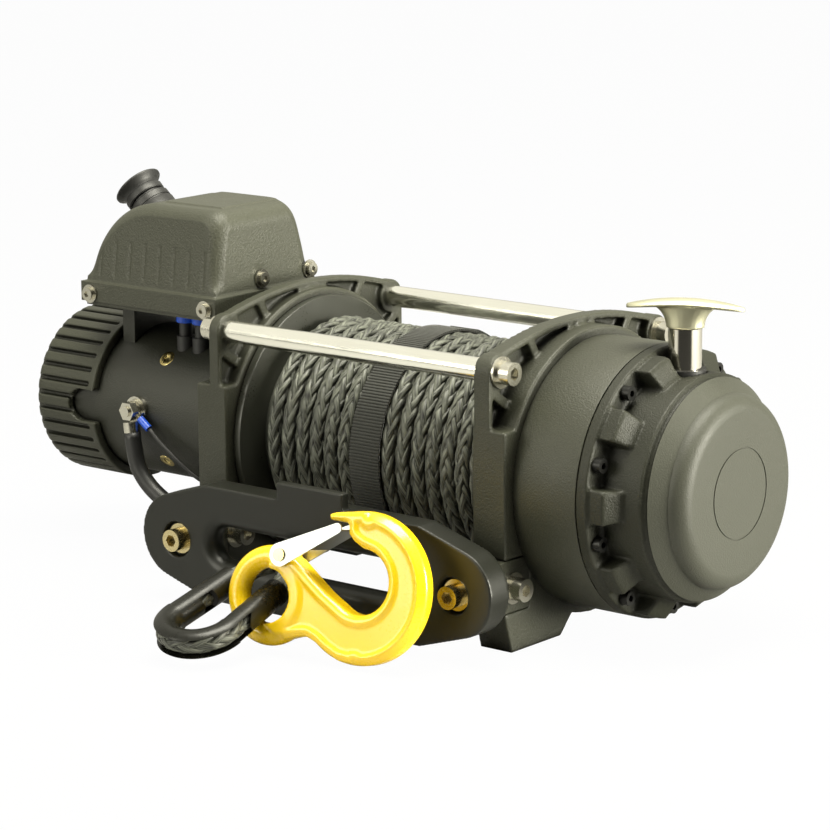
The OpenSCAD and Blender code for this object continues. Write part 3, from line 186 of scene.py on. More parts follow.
def even_path(points: np.ndarray, step: float) -> np.ndarray:
    """Places points at even distances along a polyline."""
    gaps = np.linalg.norm(np.diff(points, axis=0), axis=1)
    along = np.concatenate([[0], np.cumsum(gaps)])
    count = max(int(round(along[-1] / step)), 2)
    at = np.linspace(0, along[-1], count + 1)
    return np.stack([np.interp(at, along, points[:, k]) for k in range(3)], axis=1)


def carried_frames(path: np.ndarray, start: Sequence[float]) -> tuple[np.ndarray, np.ndarray, np.ndarray]:
    """Carries a frame along a path without twist.

    Args:
        path: Points of the path.
        start: Direction that the first normal leans towards.

    Returns:
        Tangents, normals and side vectors, one row a point.
    """
    tangents = unit(np.gradient(path, axis=0))
    normals = np.zeros_like(path)
    n = np.asarray(start, float)
    for i, t in enumerate(tangents):
        n = n - t * float(n @ t)
        n = n / np.linalg.norm(n)
        normals[i] = n
    return tangents, normals, np.cross(tangents, normals)


def tube_faces(rings: int, sides: int, offset: int = 0, caps: bool = True) -> list[tuple[int, ...]]:
    """Faces of a tube whose rings follow each other in the vertex list.

    Args:
        rings: Number of rings.
        sides: Vertices in a ring.
        offset: Index of the tube's first vertex.
        caps: Whether the ends are closed.

    Returns:
        Vertex indices of each face, turned outwards.
    """
    faces: list[tuple[int, ...]] = []
    for i in range(rings - 1):
        a = offset + i * sides
        for k in range(sides):
            m = (k + 1) % sides
            faces.append((a + k, a + m, a + sides + m, a + sides + k))
    if caps:
        faces.append(tuple(offset + k for k in range(sides - 1, -1, -1)))
        faces.append(tuple(offset + (rings - 1) * sides + k for k in range(sides)))
    return faces


def linked(name: str, data: bpy.types.ID) -> Thing:
    """Puts new data into the scene as an object."""
    thing = bpy.data.objects.new(name, data)
    bpy.context.scene.collection.objects.link(thing)
    return thing


def smoothed(thing: Thing) -> Thing:
    """Shades every face smooth."""
    thing.data.polygons.foreach_set("use_smooth", np.ones(len(thing.data.polygons), bool))
    return thing


def make_object(name: str, verts: np.ndarray, faces: list, uv: np.ndarray | None = None) -> Thing:
    """Makes a smooth mesh object at the origin.

    Args:
        name: Name of the piece.
        verts: Vertices in metres.
        faces: Vertex indices of each face.
        uv: One pair a vertex, for patterns that follow the surface.

    Returns:
        The linked object.
    """
    mesh = bpy.data.meshes.new(name)
    mesh.from_pydata(np.asarray(verts).tolist(), [], faces)
    mesh.update()
    if uv is not None:
        layer = mesh.uv_layers.new(name="along")
        loops = np.empty(len(mesh.loops), np.int32)
        mesh.loops.foreach_get("vertex_index", loops)
        layer.data.foreach_set("uv", np.asarray(uv, np.float32)[loops].ravel())
    return smoothed(linked(name, mesh))


def baked(thing: Thing) -> Thing:
    """Applies an object's modifiers and gives back a plain mesh object under its name."""
    bpy.context.view_layer.update()
    shape = thing.evaluated_get(bpy.context.evaluated_depsgraph_get())
    mesh = bpy.data.meshes.new_from_object(shape)
    thing.modifiers.clear()
    thing.data = mesh
    return thing


def revolve(profile: Pairs, segments: int,
            span: tuple[float, float] = (0.0, 360.0)) -> tuple[np.ndarray, list]:
    """Turns a profile round the drum axis.

    Args:
        profile: Pairs of place along X and radius, in metres; closed when the span isn't a full turn.
        segments: Steps of the turn.
        span: First and last angle in degrees, from straight up towards the back.

    Returns:
        Vertices and faces.
    """
    full = abs(span[1] - span[0] - 360) < 1e-6
    count = segments if full else segments + 1
    verts = []
    for i in range(count):
        a = math.radians(span[0] + (span[1] - span[0]) * i / segments)
        for x, r in profile:
            verts.append((x, r * math.sin(a), AXIS_Z + r * math.cos(a)))
    n = len(profile)
    faces = []
    for i in range(segments):
        j = (i + 1) % count
        for k in range(n - 1 if full else n):
            m = (k + 1) % n
            faces.append((i * n + k, i * n + m, j * n + m, j * n + k))
    if not full:
        faces.append(tuple(range(n)))
        faces.append(tuple((count - 1) * n + k for k in range(n - 1, -1, -1)))
    return np.array(verts), faces


def facing_out(thing: Thing) -> Thing:
    """Merges doubles and turns every face outwards."""
    form = bmesh.new()
    form.from_mesh(thing.data)
    bmesh.ops.remove_doubles(form, verts=form.verts, dist=0.01 * MM)
    bmesh.ops.recalc_face_normals(form, faces=form.faces)
    form.to_mesh(thing.data)
    form.free()
    return thing


def cast_copy(node: str, name: str, voxel: float, smooth: int = 2, keep: float = 1.0) -> Thing:
    """Gives a CAD solid the soft edges of a casting.

    Args:
        node: CAD node that is copied.
        name: Name of the new piece.
        voxel: Grid of the new surface in metres, which is also the edge radius.
        smooth: Passes of smoothing.
        keep: Share of the faces that stay.

    Returns:
        The rounded copy, which doesn't yet ride on a body.
    """
    mesh = NODES[node].data.copy()
    mesh.name = name
    thing = facing_out(linked(name, mesh))
    remesh = thing.modifiers.new("grid", "REMESH")
    remesh.mode = "VOXEL"
    remesh.voxel_size = voxel
    if smooth:
        soft = thing.modifiers.new("soft", "SMOOTH")
        soft.factor = 0.5
        soft.iterations = smooth
    if keep < 1:
        fewer = thing.modifiers.new("fewer", "DECIMATE")
        fewer.ratio = keep
    return smoothed(baked(thing))


def soft_copy(node: str, name: str, bevel: float = 0.0, crease: float = 35.0) -> Thing:
    """Copies a machined CAD solid with smooth faces and slightly broken edges.

    Args:
        node: CAD node that is copied.
        name: Name of the new piece.
        bevel: Width of the broken edge in metres.
        crease: Least angle of an edge, in degrees.

    Returns:
        The copy, which doesn't yet ride on a body.
    """
    mesh = NODES[node].data.copy()
    mesh.name = name
    if "custom_normal" in mesh.attributes:
        mesh.attributes.remove(mesh.attributes["custom_normal"])
    thing = linked(name, mesh)
    form = bmesh.new()
    form.from_mesh(mesh)
    bmesh.ops.remove_doubles(form, verts=form.verts, dist=0.002 * MM)
    bmesh.ops.recalc_face_normals(form, faces=form.faces)
    if bevel:
        bmesh.ops.dissolve_limit(form, angle_limit=math.radians(0.4), verts=form.verts, edges=form.edges)
    form.to_mesh(mesh)
    form.free()
    if bevel:
        edge = thing.modifiers.new("edge", "BEVEL")
        edge.width = bevel
        edge.segments = 3
        edge.limit_method = "ANGLE"
        edge.angle_limit = math.radians(crease)
        baked(thing)
    smoothed(thing).data.set_sharp_from_angle(angle=math.radians(crease))
    return thing


def vertex_array(thing: Thing, what: str = "co") -> np.ndarray:
    """Reads the places or the normals of all vertices."""
    flat = np.empty(len(thing.data.vertices) * 3, np.float32)
    thing.data.vertices.foreach_get(what, flat)
    return flat.reshape(-1, 3).astype(float)


def write_vertices(thing: Thing, places: np.ndarray) -> None:
    """Writes the places of all vertices."""
    thing.data.vertices.foreach_set("co", places.astype(np.float32).ravel())
    thing.data.update()


def edge_array(thing: Thing) -> np.ndarray:
    """Reads the vertex pairs of all edges."""
    flat = np.empty(len(thing.data.edges) * 2, np.int32)
    thing.data.edges.foreach_get("vertices", flat)
    return flat.reshape(-1, 2)


def blurred(values: np.ndarray, edges: np.ndarray, passes: int,
            weight: np.ndarray | float = 1.0) -> np.ndarray:
    """Averages each vertex with its neighbours.

    Args:
        values: One row a vertex.
        edges: Vertex pairs.
        passes: Number of rounds.
        weight: Share of the average that each vertex takes.

    Returns:
        The blurred rows.
    """
    count = len(values)
    ends = np.concatenate([edges[:, 0], edges[:, 1]])
    others = np.concatenate([edges[:, 1], edges[:, 0]])
    degree = 1 + np.bincount(ends, minlength=count)
    share = np.broadcast_to(np.asarray(weight, float), (count,))[:, None]
    out = values.copy()
    for _ in range(passes):
        total = np.stack([np.bincount(ends, out[others, k], count) for k in range(out.shape[1])], axis=1)
        out = out + share * ((total + out) / degree[:, None] - out)
    return out


def smoothstep(low: float, high: float, value: np.ndarray) -> np.ndarray:
    """Rises smoothly from zero at low to one at high."""
    t = np.clip((value - low) / (high - low), 0, 1)
    return t * t * (3 - 2 * t)


def true_rounds(thing: Thing, rounds: Iterable[tuple[float, float, float]], slack: float) -> Thing:
    """Puts the vertices near a round face of the drum axis exactly on it.

    Args:
        thing: The piece.
        rounds: Radius and first and last place along X of each face, in millimetres.
        slack: Greatest distance that a vertex moves.

    Returns:
        The same piece.
    """
    places = vertex_array(thing)
    centre = np.array([0, AXIS_Z])
    for radius, first, last in rounds:
        away = places[:, 1:] - centre
        r = np.linalg.norm(away, axis=1)
        near = (np.abs(r - radius * MM) < slack) & (places[:, 0] > first * MM) & (places[:, 0] < last * MM)
        places[near, 1:] = centre + away[near] * (radius * MM / r[near])[:, None]
    write_vertices(thing, places)
    return thing


def round_big_edges(thing: Thing, above: float, passes: int) -> Thing:
    """Gives only the big edges a wide radius, and leaves grooves and panels crisp.

    Args:
        thing: The piece, with an even fine mesh.
        above: Height below which nothing moves.
        passes: Rounds of smoothing.

    Returns:
        The same piece.
    """
    edges = edge_array(thing)
    places = vertex_array(thing)
    wide = np.linalg.norm(blurred(vertex_array(thing, "normal"), edges, NORMAL_PASSES), axis=1)
    weight = (1 - smoothstep(*FLATNESS, wide)) * smoothstep(above, above + 4 * MM, places[:, 2])
    write_vertices(thing, blurred(places, edges, passes, weight))
    return thing


def turned(name: str, profile: Pairs, place: Matrix, segments: int = 64) -> Thing:
    """Turns a profile round its own axis and puts it in place.

    Args:
        name: Name of the piece.
        profile: Radius and height pairs in metres; the first and the last lie on the axis.
        place: Where the axis goes.
        segments: Steps of the turn.

    Returns:
        The closed form.
    """
    inner = profile[1:-1]
    ring = 2 * np.pi * np.arange(segments) / segments
    verts = [(r * math.cos(a), r * math.sin(a), z) for r, z in inner for a in ring]
    faces = tube_faces(len(inner), segments, caps=False)
    low, high = len(verts), len(verts) + 1
    verts += [(0.0, 0.0, profile[0][1]), (0.0, 0.0, profile[-1][1])]
    last = (len(inner) - 1) * segments
    for k in range(segments):
        m = (k + 1) % segments
        faces += [(low, m, k), (high, last + k, last + m)]
    thing = facing_out(make_object(name, np.array(verts), faces))
    thing.data.transform(place)
    thing.data.set_sharp_from_angle(angle=math.radians(40))
    return thing


def dress(thing: Thing, material: Material) -> Thing:
    """Gives a piece one material."""
    thing.data.materials.clear()
    thing.data.materials.append(material)
    return thing


def dress_node(node: str, material: Material) -> None:
    """Assigns a material to every slot of a CAD node."""
    thing = NODES[node]
    for place in thing.material_slots:
        place.material = material


def settle(thing: Thing, body: str, slot: str, *nodes: str) -> Thing:
    """Puts a piece on its body and hides the CAD nodes that it replaces.

    Args:
        thing: The piece.
        body: Body that carries it.
        slot: Not used.
        nodes: CAD nodes that it replaces.

    Returns:
        The same piece.
    """
    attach(thing, body)
    if nodes:
        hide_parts(*nodes)
    LOG.info("%s rides on %s", thing.name, body)
    return thing


# Finishes


@dataclass(frozen=True)
class Finish:
    """A surface with a fine grain, slight stains, worn edges and painted shade in its recesses; lengths in
    millimetres.
    """

    name: str
    colour: str
    roughness: float
    metallic: float = 0.0
    grain: float = 0.8
    relief: float = 0.03
    spread: float = 0.15
    stretch: tuple[float, float, float] = (1.0, 1.0, 1.0)
    wear: float = 0.0
    # Share of painted shade in pockets and crevices; reach is how far the ambient occlusion looks
    painted_recess_shade: float = 0.0
    reach: float = 14.0
    stains: float = 28.0
    unevenness: float = 0.08
    coat_roughness: float = 0.12
    shine: float = 0.5
    contrast: float = 0.0
    coat: float = 0.0
    sheen: float = 0.0
    coordinates: Coordinates = Coordinates.OBJECT

    def material(self) -> Material:
        """Builds the material.

        Returns:
            A material named for the finish.
        """
        skin = bpy.data.materials.new(self.name)
        skin.use_nodes = True
        tree = skin.node_tree
        shader = tree.nodes["Principled BSDF"]
        shader.inputs["Metallic"].default_value = self.metallic
        shader.inputs["Specular IOR Level"].default_value = self.shine
        shader.inputs["Coat Weight"].default_value = self.coat
        shader.inputs["Coat Roughness"].default_value = self.coat_roughness
        shader.inputs["Sheen Weight"].default_value = self.sheen
        place = add_node(tree, "ShaderNodeTexCoord")
        turned = add_node(tree, "ShaderNodeMapping", {"Scale": self.stretch},
                          {"Vector": place.outputs[self.coordinates.value]})
        fine = add_node(tree, "ShaderNodeTexNoise", {"Scale": 1 / (self.grain * MM), "Detail": 2.0,
                                                     "Roughness": 0.6}, {"Vector": turned.outputs[0]})
        broad = add_node(tree, "ShaderNodeTexNoise", {"Scale": self.stains, "Detail": 3.0},
                         {"Vector": place.outputs["Object"]})
        both = figured(tree, "ADD", fine.outputs["Fac"], broad.outputs["Fac"])
        sway = (max(self.roughness - self.unevenness, 0.03), min(self.roughness + self.unevenness, 1.0))
        tree.links.new(ranged(tree, both, (0.6, 1.4), sway), shader.inputs["Roughness"])
        base = hex_colour(self.colour)
        low = tuple(c * (1 - self.spread) for c in base[:3]) + (1.0,)
        high = tuple(min(c * (1 + self.spread), 1.0) for c in base[:3]) + (1.0,)
        out = blend(tree, self.streaked(tree, fine.outputs["Fac"]), low, high)
        if self.wear > 0:
            out = self.worn(tree, out, base)
        # Painted shade: darkens the colour in recesses
        if self.painted_recess_shade > 0:
            out = self.with_painted_shade(tree, out)
        tree.links.new(out, shader.inputs["Base Color"])
        bump = add_node(tree, "ShaderNodeBump", {"Strength": 1.0, "Distance": self.relief * MM},
                        {"Height": fine.outputs["Fac"]})
        tree.links.new(bump.outputs[0], shader.inputs["Normal"])
        return skin

    def streaked(self, tree: Tree, grain: Socket) -> Socket:
        """Sharpens the grain into light and dark colour streaks, if the finish asks for it; on the rope the
        light streaks are partly painted highlights.
        """
        if self.contrast <= 0:
            return grain
        half = 0.5 - self.contrast / 2
        return ranged(tree, grain, (0.5 - half, 0.5 + half))

    def worn(self, tree: Tree, colour: Socket, base: tuple) -> Socket:
        """Lightens the sharp edges a little, as handling does.

        Args:
            tree: The material's tree.
            colour: Colour so far.
            base: Linear colour of the surface.

        Returns:
            The colour with worn edges.
        """
        shape = add_node(tree, "ShaderNodeNewGeometry")
        edge = ranged(tree, shape.outputs["Pointiness"], (0.52, 0.62), (0.0, self.wear))
        light = tuple(min(c * 3 + 0.03, 1.0) for c in base[:3]) + (1.0,)
        return blend(tree, edge, colour, light)

    def with_painted_shade(self, tree: Tree, colour: Socket) -> Socket:
        """Paints shade into pockets and crevices by darkening the colour where ambient occlusion finds
        nearby surfaces.

        Args:
            tree: The material's tree.
            colour: Colour so far.

        Returns:
            The colour with painted shade in its recesses.
        """
        cover = add_node(tree, "ShaderNodeAmbientOcclusion", {"samples": 4, "Distance": self.reach * MM})
        light = ranged(tree, cover.outputs["AO"], (0.3, 0.85), (1 - self.painted_recess_shade, 1.0))
        dim = add_node(tree, "ShaderNodeVectorMath", {"operation": "SCALE"}, {0: colour, "Scale": light})
        return dim.outputs[0]


# Powder coat on sand castings: matt black with an orange-peel grain that breaks up the light, and painted
# shade in its pockets and crevices
CAST = Finish("powder_coated_casting", "#34352b", 0.45, grain=1.3, relief=0.36, spread=0.3,
              wear=0.12, painted_recess_shade=0.85, shine=0.35)
# The same coat on the gear cover, painted darker than the side castings as painted shade, with painted
# shade in its pockets too
SHADED_COVER_COAT = Finish("powder_coat_painted_shade", "#23241b", 0.5, grain=1.3, relief=0.36, spread=0.3,
               wear=0.1, painted_recess_shade=0.7, shine=0.3)
# Wet paint on the rolled motor tube: smoother than the castings, with wide painted shade under the control
# box and in its recesses
TUBE = Finish("painted_motor_tube", "#292a23", 0.42, grain=1.2, relief=0.28, spread=0.25, painted_recess_shade=0.75,
              reach=28, shine=0.4)
# Powder coat on the turned gearbox cap: painted paler than the castings as painted light on its lit face,
# finer grain
LIT_CAP_COAT = Finish("powder_coat_painted_light", "#3b3c34", 0.5, grain=1.2, relief=0.24, spread=0.2, shine=0.35)
# Grained injection moulding of the control box, with painted shade in its recesses
MOULDED = Finish("grained_moulding", "#3d3e34", 0.45, grain=1.5, relief=0.45, spread=0.25,
                 painted_recess_shade=0.5, reach=8, shine=0.35)
# Hard anodised aluminium of the fairlead: even, dark, slightly grey
ANODISED = Finish("hard_anodised_aluminium", "#171813", 0.38, grain=0.8, relief=0.012, wear=0.3, shine=0.35)
# Satin enamel on the drum flanges: smooth, with broad soft highlights
ENAMEL = Finish("satin_enamel", "#2c2d27", 0.33, grain=1.5, relief=0.006, spread=0.06)
# Drawn and plated steel of the tie rods: cream reflections, streaks along the length
DRAWN = Finish("drawn_plated_steel", "#f2f1e8", 0.18, 1.0, grain=0.6, relief=0.004, spread=0.06,
               stretch=(0.03, 1.0, 1.0))
# Zinc plated fasteners
ZINC = Finish("zinc_plate", "#c9c6ba", 0.22, 1.0, grain=0.5, relief=0.003, spread=0.1)
# Yellow passivated zinc of the fairlead bolts
PASSIVATED = Finish("yellow_passivated_zinc", "#c4b68c", 0.24, 1.0, grain=0.6, relief=0.003, spread=0.18)
# Brass coloured pole screws
BRASS = Finish("brass_plated_screw", "#cdbb80", 0.24, 1.0, grain=0.5, relief=0.003, spread=0.15)
# Polished chrome of the clutch shaft: clear dark and light bands
CHROME = Finish("polished_chrome", "#e6e2d8", 0.06, 1.0, grain=2, relief=0.001, spread=0.02)
# Satin die casting of the clutch handle
SATIN = Finish("satin_die_casting", "#b6b49c", 0.5, 1.0, grain=0.5, relief=0.01, spread=0.05)
# Gloss yellow powder coat on the forged hook, with a soft peel
YELLOW = Finish("yellow_powder_coat", "#f6cc10", 0.3, grain=2.2, relief=0.05, spread=0.04, coat=0.5,
                wear=0.12)
# Bright zinc sheet of the latch
SHEET_ZINC = Finish("bright_zinc_sheet", "#b4b7b6", 0.36, 1.0, grain=0.8, relief=0.006, spread=0.04)
# Black dip on the thimble: half gloss, slightly uneven
GLOSS = Finish("black_dip", "#12120d", 0.3, grain=3, relief=0.05, shine=0.3)
# Rubber jacket of the heavy cable
JACKET = Finish("rubber_cable_jacket", "#1a1a1a", 0.45, grain=0.8, relief=0.02)
# Soft rubber of the socket and its cap
RUBBER = Finish("moulded_rubber", "#191919", 0.5, grain=0.6, relief=0.02)
# Blue vinyl sleeve of the crimps
VINYL = Finish("blue_vinyl_sleeve", "#1c4fc4", 0.35, grain=2, relief=0.01)
# Black oxide on the cover bolts
OXIDE = Finish("black_oxide", "#1c1c1b", 0.38, 0.6, grain=0.5, relief=0.01)
# Hardened steel of the gears
GEAR_STEEL = Finish("ground_gear_steel", "#8e8e8c", 0.35, 1.0, grain=0.5, relief=0.01)
# Sintered bronze of the bushes
BRONZE = Finish("sintered_bronze", "#a07a45", 0.45, 1.0, grain=0.4, relief=0.01)
# Polyamide webbing: dull black thread
WEBBING = Finish("polyamide_webbing", "#262722", 0.75, grain=0.5, relief=0.08, spread=0.35, sheen=0.2)
# High modulus fibre: dark grey, and the light and dark colour streaks along each strand are partly the
# filaments' own tint and partly painted highlights; the gaps between strands get painted shade
FIBRE = Finish("high_modulus_fibre", "#50524a", 0.5, grain=0.75, relief=0.5, spread=0.85,
               contrast=0.72, stretch=(0.07, 1.0, 1.0), painted_recess_shade=0.85, reach=4, coordinates=Coordinates.UV)


# Repeats made with Geometry Nodes


@dataclass
class TurnedRepeat:
    """Repeats a small form round a line along X."""

    count: int
    step: float
    centre: tuple[float, float, float] = (0.0, 0.0, AXIS_Z)
    first: float = 0.0

    def tree(self, material: Material) -> Tree:
        """Builds the node tree with its named inputs.

        Args:
            material: Material of every copy.

        Returns:
            The tree.
        """
        group = bpy.data.node_groups.new("turned_repeat", "GeometryNodeTree")
        group.interface.new_socket("Form", in_out="INPUT", socket_type="NodeSocketGeometry")
        for name, kind in (("Count", "Int"), ("Step", "Float"), ("First", "Float"), ("Centre", "Vector")):
            group.interface.new_socket(name, in_out="INPUT", socket_type="NodeSocket" + kind)
        group.interface.new_socket("Copies", in_out="OUTPUT", socket_type="NodeSocketGeometry")
        source = add_node(group, "NodeGroupInput")
        places = add_node(group, "GeometryNodePoints", None,
                          {"Count": source.outputs["Count"], "Position": source.outputs["Centre"]})
        index = add_node(group, "GeometryNodeInputIndex")
        angle = figured(group, "MULTIPLY_ADD", index.outputs[0],
                        source.outputs["Step"], source.outputs["First"])
        turn = add_node(group, "ShaderNodeCombineXYZ", None, {"X": angle})
        copies = add_node(group, "GeometryNodeInstanceOnPoints", None,
                          {"Points": places.outputs[0], "Instance": source.outputs["Form"],
                           "Rotation": turn.outputs[0]})
        real = add_node(group, "GeometryNodeRealizeInstances", None, {"Geometry": copies.outputs[0]})
        dressed = add_node(group, "GeometryNodeSetMaterial", {"Material": material},
                           {"Geometry": real.outputs[0]})
        add_node(group, "NodeGroupOutput", None, {0: dressed.outputs[0]})
        return group

    def run(self, form: Thing, material: Material) -> Thing:
        """Turns a form, drawn from the centre, into its copies.

        Args:
            form: Object whose mesh is repeated.
            material: Material of every copy.

        Returns:
            The same object with one plain mesh.
        """
        tree = self.tree(material)
        step = form.modifiers.new("repeat", "NODES")
        step.node_group = tree
        values = {"Count": self.count, "Step": math.radians(self.step), "First": math.radians(self.first),
                  "Centre": self.centre}
        for item in tree.interface.items_tree:
            if item.item_type == "SOCKET" and item.in_out == "INPUT" and item.name in values:
                step[item.identifier] = values[item.name]
        smoothed(baked(form))
        bpy.data.node_groups.remove(tree)
        return form


def rounded_bar(name: str, size: tuple[float, float, float], at: tuple[float, float, float],
                bevel: float) -> Thing:
    """Makes a bar with rounded edges.

    Args:
        name: Name of the piece.
        size: Length, depth and height.
        at: Middle of the bar.
        bevel: Radius of the edges.

    Returns:
        The bar as a plain mesh object.
    """
    form = bmesh.new()
    bmesh.ops.create_cube(form, size=1.0)
    bmesh.ops.scale(form, vec=size, verts=form.verts)
    bmesh.ops.bevel(form, geom=form.edges[:], offset=bevel, segments=3, profile=0.5, affect="EDGES")
    bmesh.ops.translate(form, vec=at, verts=form.verts)
    mesh = bpy.data.meshes.new(name)
    form.to_mesh(mesh)
    form.free()
    return smoothed(linked(name, mesh))


# Camera, light and floor


@dataclass
class Studio:
    """White studio with the photograph's camera."""

    target: tuple[float, float, float] = (-20.0 * MM, -2.36 * MM, 129.08 * MM)
    azimuth: float = 39.52
    elevation: float = 12.17
    roll: float = -0.49
    distance: float = 2404.74 * MM
    focal_pixels: float = 3318.23
    frame_pixels: float = 830.0
    sensor: float = 36.0
    clip: tuple[float, float] = (0.05, 50.0)
    ambient: float = 0.1
    horizon: float = 0.5
    mirrored: float = 1.0
    dark: float = 0.06
    dark_half: float = 43.0
    dark_edge: float = 6.0
    light_colour: str = "#fffcec"
    sky_rise: float = 0.55
    floor_half: float = 6.0
    floor_drop: float = 0.2 * MM
    paper: float = 0.4
    paper_glow: float = 0.975
    room_from: tuple[float, float] = (0.35, 0.55)
    lamps: tuple = (("right_box", (2.4, 0.75, 0.55), (0.9, 1.1), 165.0),
                    ("top_box", (0.2, -0.1, 1.8), (1.4, 0.9), 78.0),
                    ("front_box", (-0.9, -2.1, 0.8), (1.0, 1.2), 25.0))

    def camera(self) -> None:
        """Places the camera at the photograph's viewpoint."""
        az, el, roll = (math.radians(v) for v in (self.azimuth, self.elevation, self.roll))
        back = Vector((math.sin(az) * math.cos(el), -math.cos(az) * math.cos(el), math.sin(el)))
        right = (-back).cross(Vector((0, 0, 1))).normalized()
        up = back.cross(right)
        side = math.cos(roll) * right + math.sin(roll) * up
        top = -math.sin(roll) * right + math.cos(roll) * up
        lens = bpy.data.cameras.new("camera")
        lens.sensor_width = self.sensor
        lens.lens = self.focal_pixels / self.frame_pixels * self.sensor
        lens.clip_start, lens.clip_end = self.clip
        eye = linked("camera", lens)
        turn = Matrix((side, top, back)).transposed()
        eye.matrix_world = Matrix.Translation(Vector(self.target) + self.distance * back) @ turn.to_4x4()
        bpy.context.scene.camera = eye

    def lamp(self, name: str, at: tuple[float, float, float], size: tuple[float, float],
             power: float) -> None:
        """Hangs a soft box aimed at the object.

        Args:
            name: Name of the lamp.
            at: Place of the lamp.
            size: Width and height of its face.
            power: Power in watts.
        """
        light = bpy.data.lights.new(name, "AREA")
        light.shape = "RECTANGLE"
        light.size, light.size_y = size
        light.energy = power
        light.color = hex_colour(self.light_colour)[:3]
        thing = linked(name, light)
        thing.location = at
        aim = Vector(self.target) - Vector(at)
        thing.rotation_euler = aim.to_track_quat("-Z", "Y").to_euler()

    def world(self) -> None:
        """White to the camera and in reflections, a soft grey sky for the rest."""
        sky = bpy.data.worlds.new("studio")
        bpy.context.scene.world = sky
        sky.use_nodes = True
        tree = sky.node_tree
        tree.nodes.clear()
        ray = add_node(tree, "ShaderNodeLightPath")
        place = add_node(tree, "ShaderNodeTexCoord")
        parts = add_node(tree, "ShaderNodeSeparateXYZ", None, {0: place.outputs["Generated"]})
        rise = ranged(tree, parts.outputs["Z"], (0.0, self.sky_rise), (self.horizon, self.mirrored))
        seen = figured(tree, "MULTIPLY", rise, self.open_side(tree, place.outputs["Generated"]))
        mirror = add_node(tree, "ShaderNodeMix", {"data_type": "FLOAT", 2: self.ambient},
                          {0: ray.outputs["Is Glossy Ray"], 3: seen})
        level = figured(tree, "MAXIMUM", ray.outputs["Is Camera Ray"], mirror.outputs[0])
        tint = blend(tree, ray.outputs["Is Camera Ray"], hex_colour(self.light_colour), WHITE)
        glow = add_node(tree, "ShaderNodeBackground", None, {"Color": tint, "Strength": level})
        add_node(tree, "ShaderNodeOutputWorld", None, {"Surface": glow.outputs[0]})

    def open_side(self, tree: Tree, way: Socket) -> Socket:
        """Leaves the room behind the camera dark in reflections, as in a studio.

        Args:
            tree: Tree that gets the nodes.
            way: Direction that is looked along.

        Returns:
            Zero towards the camera's side and one elsewhere.
        """
        turn = math.radians(self.azimuth)
        straight = add_node(tree, "ShaderNodeVectorMath", {"operation": "NORMALIZE"}, {0: way})
        camera_side = (math.sin(turn), -math.cos(turn), 0)
        facing = add_node(tree, "ShaderNodeVectorMath", {"operation": "DOT_PRODUCT", 1: camera_side},
                          {0: straight.outputs[0]})
        outer = math.cos(math.radians(self.dark_half + self.dark_edge))
        inner = math.cos(math.radians(self.dark_half - self.dark_edge))
        return ranged(tree, facing.outputs["Value"], (outer, inner), (1.0, self.dark))

    def floor(self) -> None:
        """Lays a white floor that keeps a soft shadow."""
        corners = [(x * self.floor_half, y * self.floor_half, -self.floor_drop)
                   for x, y in ((-1, -1), (1, -1), (1, 1), (-1, 1))]
        ground = make_object("floor", np.array(corners), [(0, 1, 2, 3)])
        paper = bpy.data.materials.new("white_paper")
        paper.use_nodes = True
        tree = paper.node_tree
        tree.nodes.clear()
        ray = add_node(tree, "ShaderNodeLightPath")
        place = add_node(tree, "ShaderNodeNewGeometry")
        away = add_node(tree, "ShaderNodeVectorMath", {"operation": "LENGTH"},
                        {0: place.outputs["Position"]})
        far = ranged(tree, away.outputs["Value"], self.room_from)
        side = figured(tree, "SUBTRACT", 1.0, self.open_side(tree, place.outputs["Position"]))
        room = figured(tree, "MULTIPLY", far, side)
        mirrored = figured(tree, "MULTIPLY", room, ray.outputs["Is Glossy Ray"])
        paint = blend(tree, mirrored, (*[self.paper] * 3, 1), BLACK)
        matt = add_node(tree, "ShaderNodeBsdfDiffuse", None, {"Color": paint})
        glow = add_node(tree, "ShaderNodeEmission", {"Color": WHITE, "Strength": 1.0})
        share = figured(tree, "MULTIPLY", ray.outputs["Is Camera Ray"], self.paper_glow)
        skin = add_node(tree, "ShaderNodeMixShader", None,
                        {0: share, 1: matt.outputs[0], 2: glow.outputs[0]})
        add_node(tree, "ShaderNodeOutputMaterial", None, {"Surface": skin.outputs[0]})
        dress(ground, paper)

    def build(self) -> None:
        """Sets up the whole studio."""
        self.camera()
        self.world()
        self.floor()
        for lamp in self.lamps:
            self.lamp(*lamp)
        bpy.context.scene.view_settings.view_transform = "Standard"
        LOG.info("camera, lamps and floor are set")


# Cables


def cable_mesh(name: str, path: np.ndarray, radius: float, sides: int) -> Thing:
    """Sweeps a round jacket along a path.

    Args:
        name: Name of the piece.
        path: Centre line in metres.
        radius: Radius of the jacket.
        sides: Sides of the tube.

    Returns:
        The tube.
    """
    _, normals, sideways = carried_frames(path, (0.3, 0.2, 1.0))
    turn = 2 * np.pi * np.arange(sides) / sides
    ring = np.cos(turn)[None, :, None] * normals[:, None] + np.sin(turn)[None, :, None] * sideways[:, None]
    verts = (path[:, None] + radius * ring).reshape(-1, 3)
    return make_object(name, verts, tube_faces(len(path), sides))


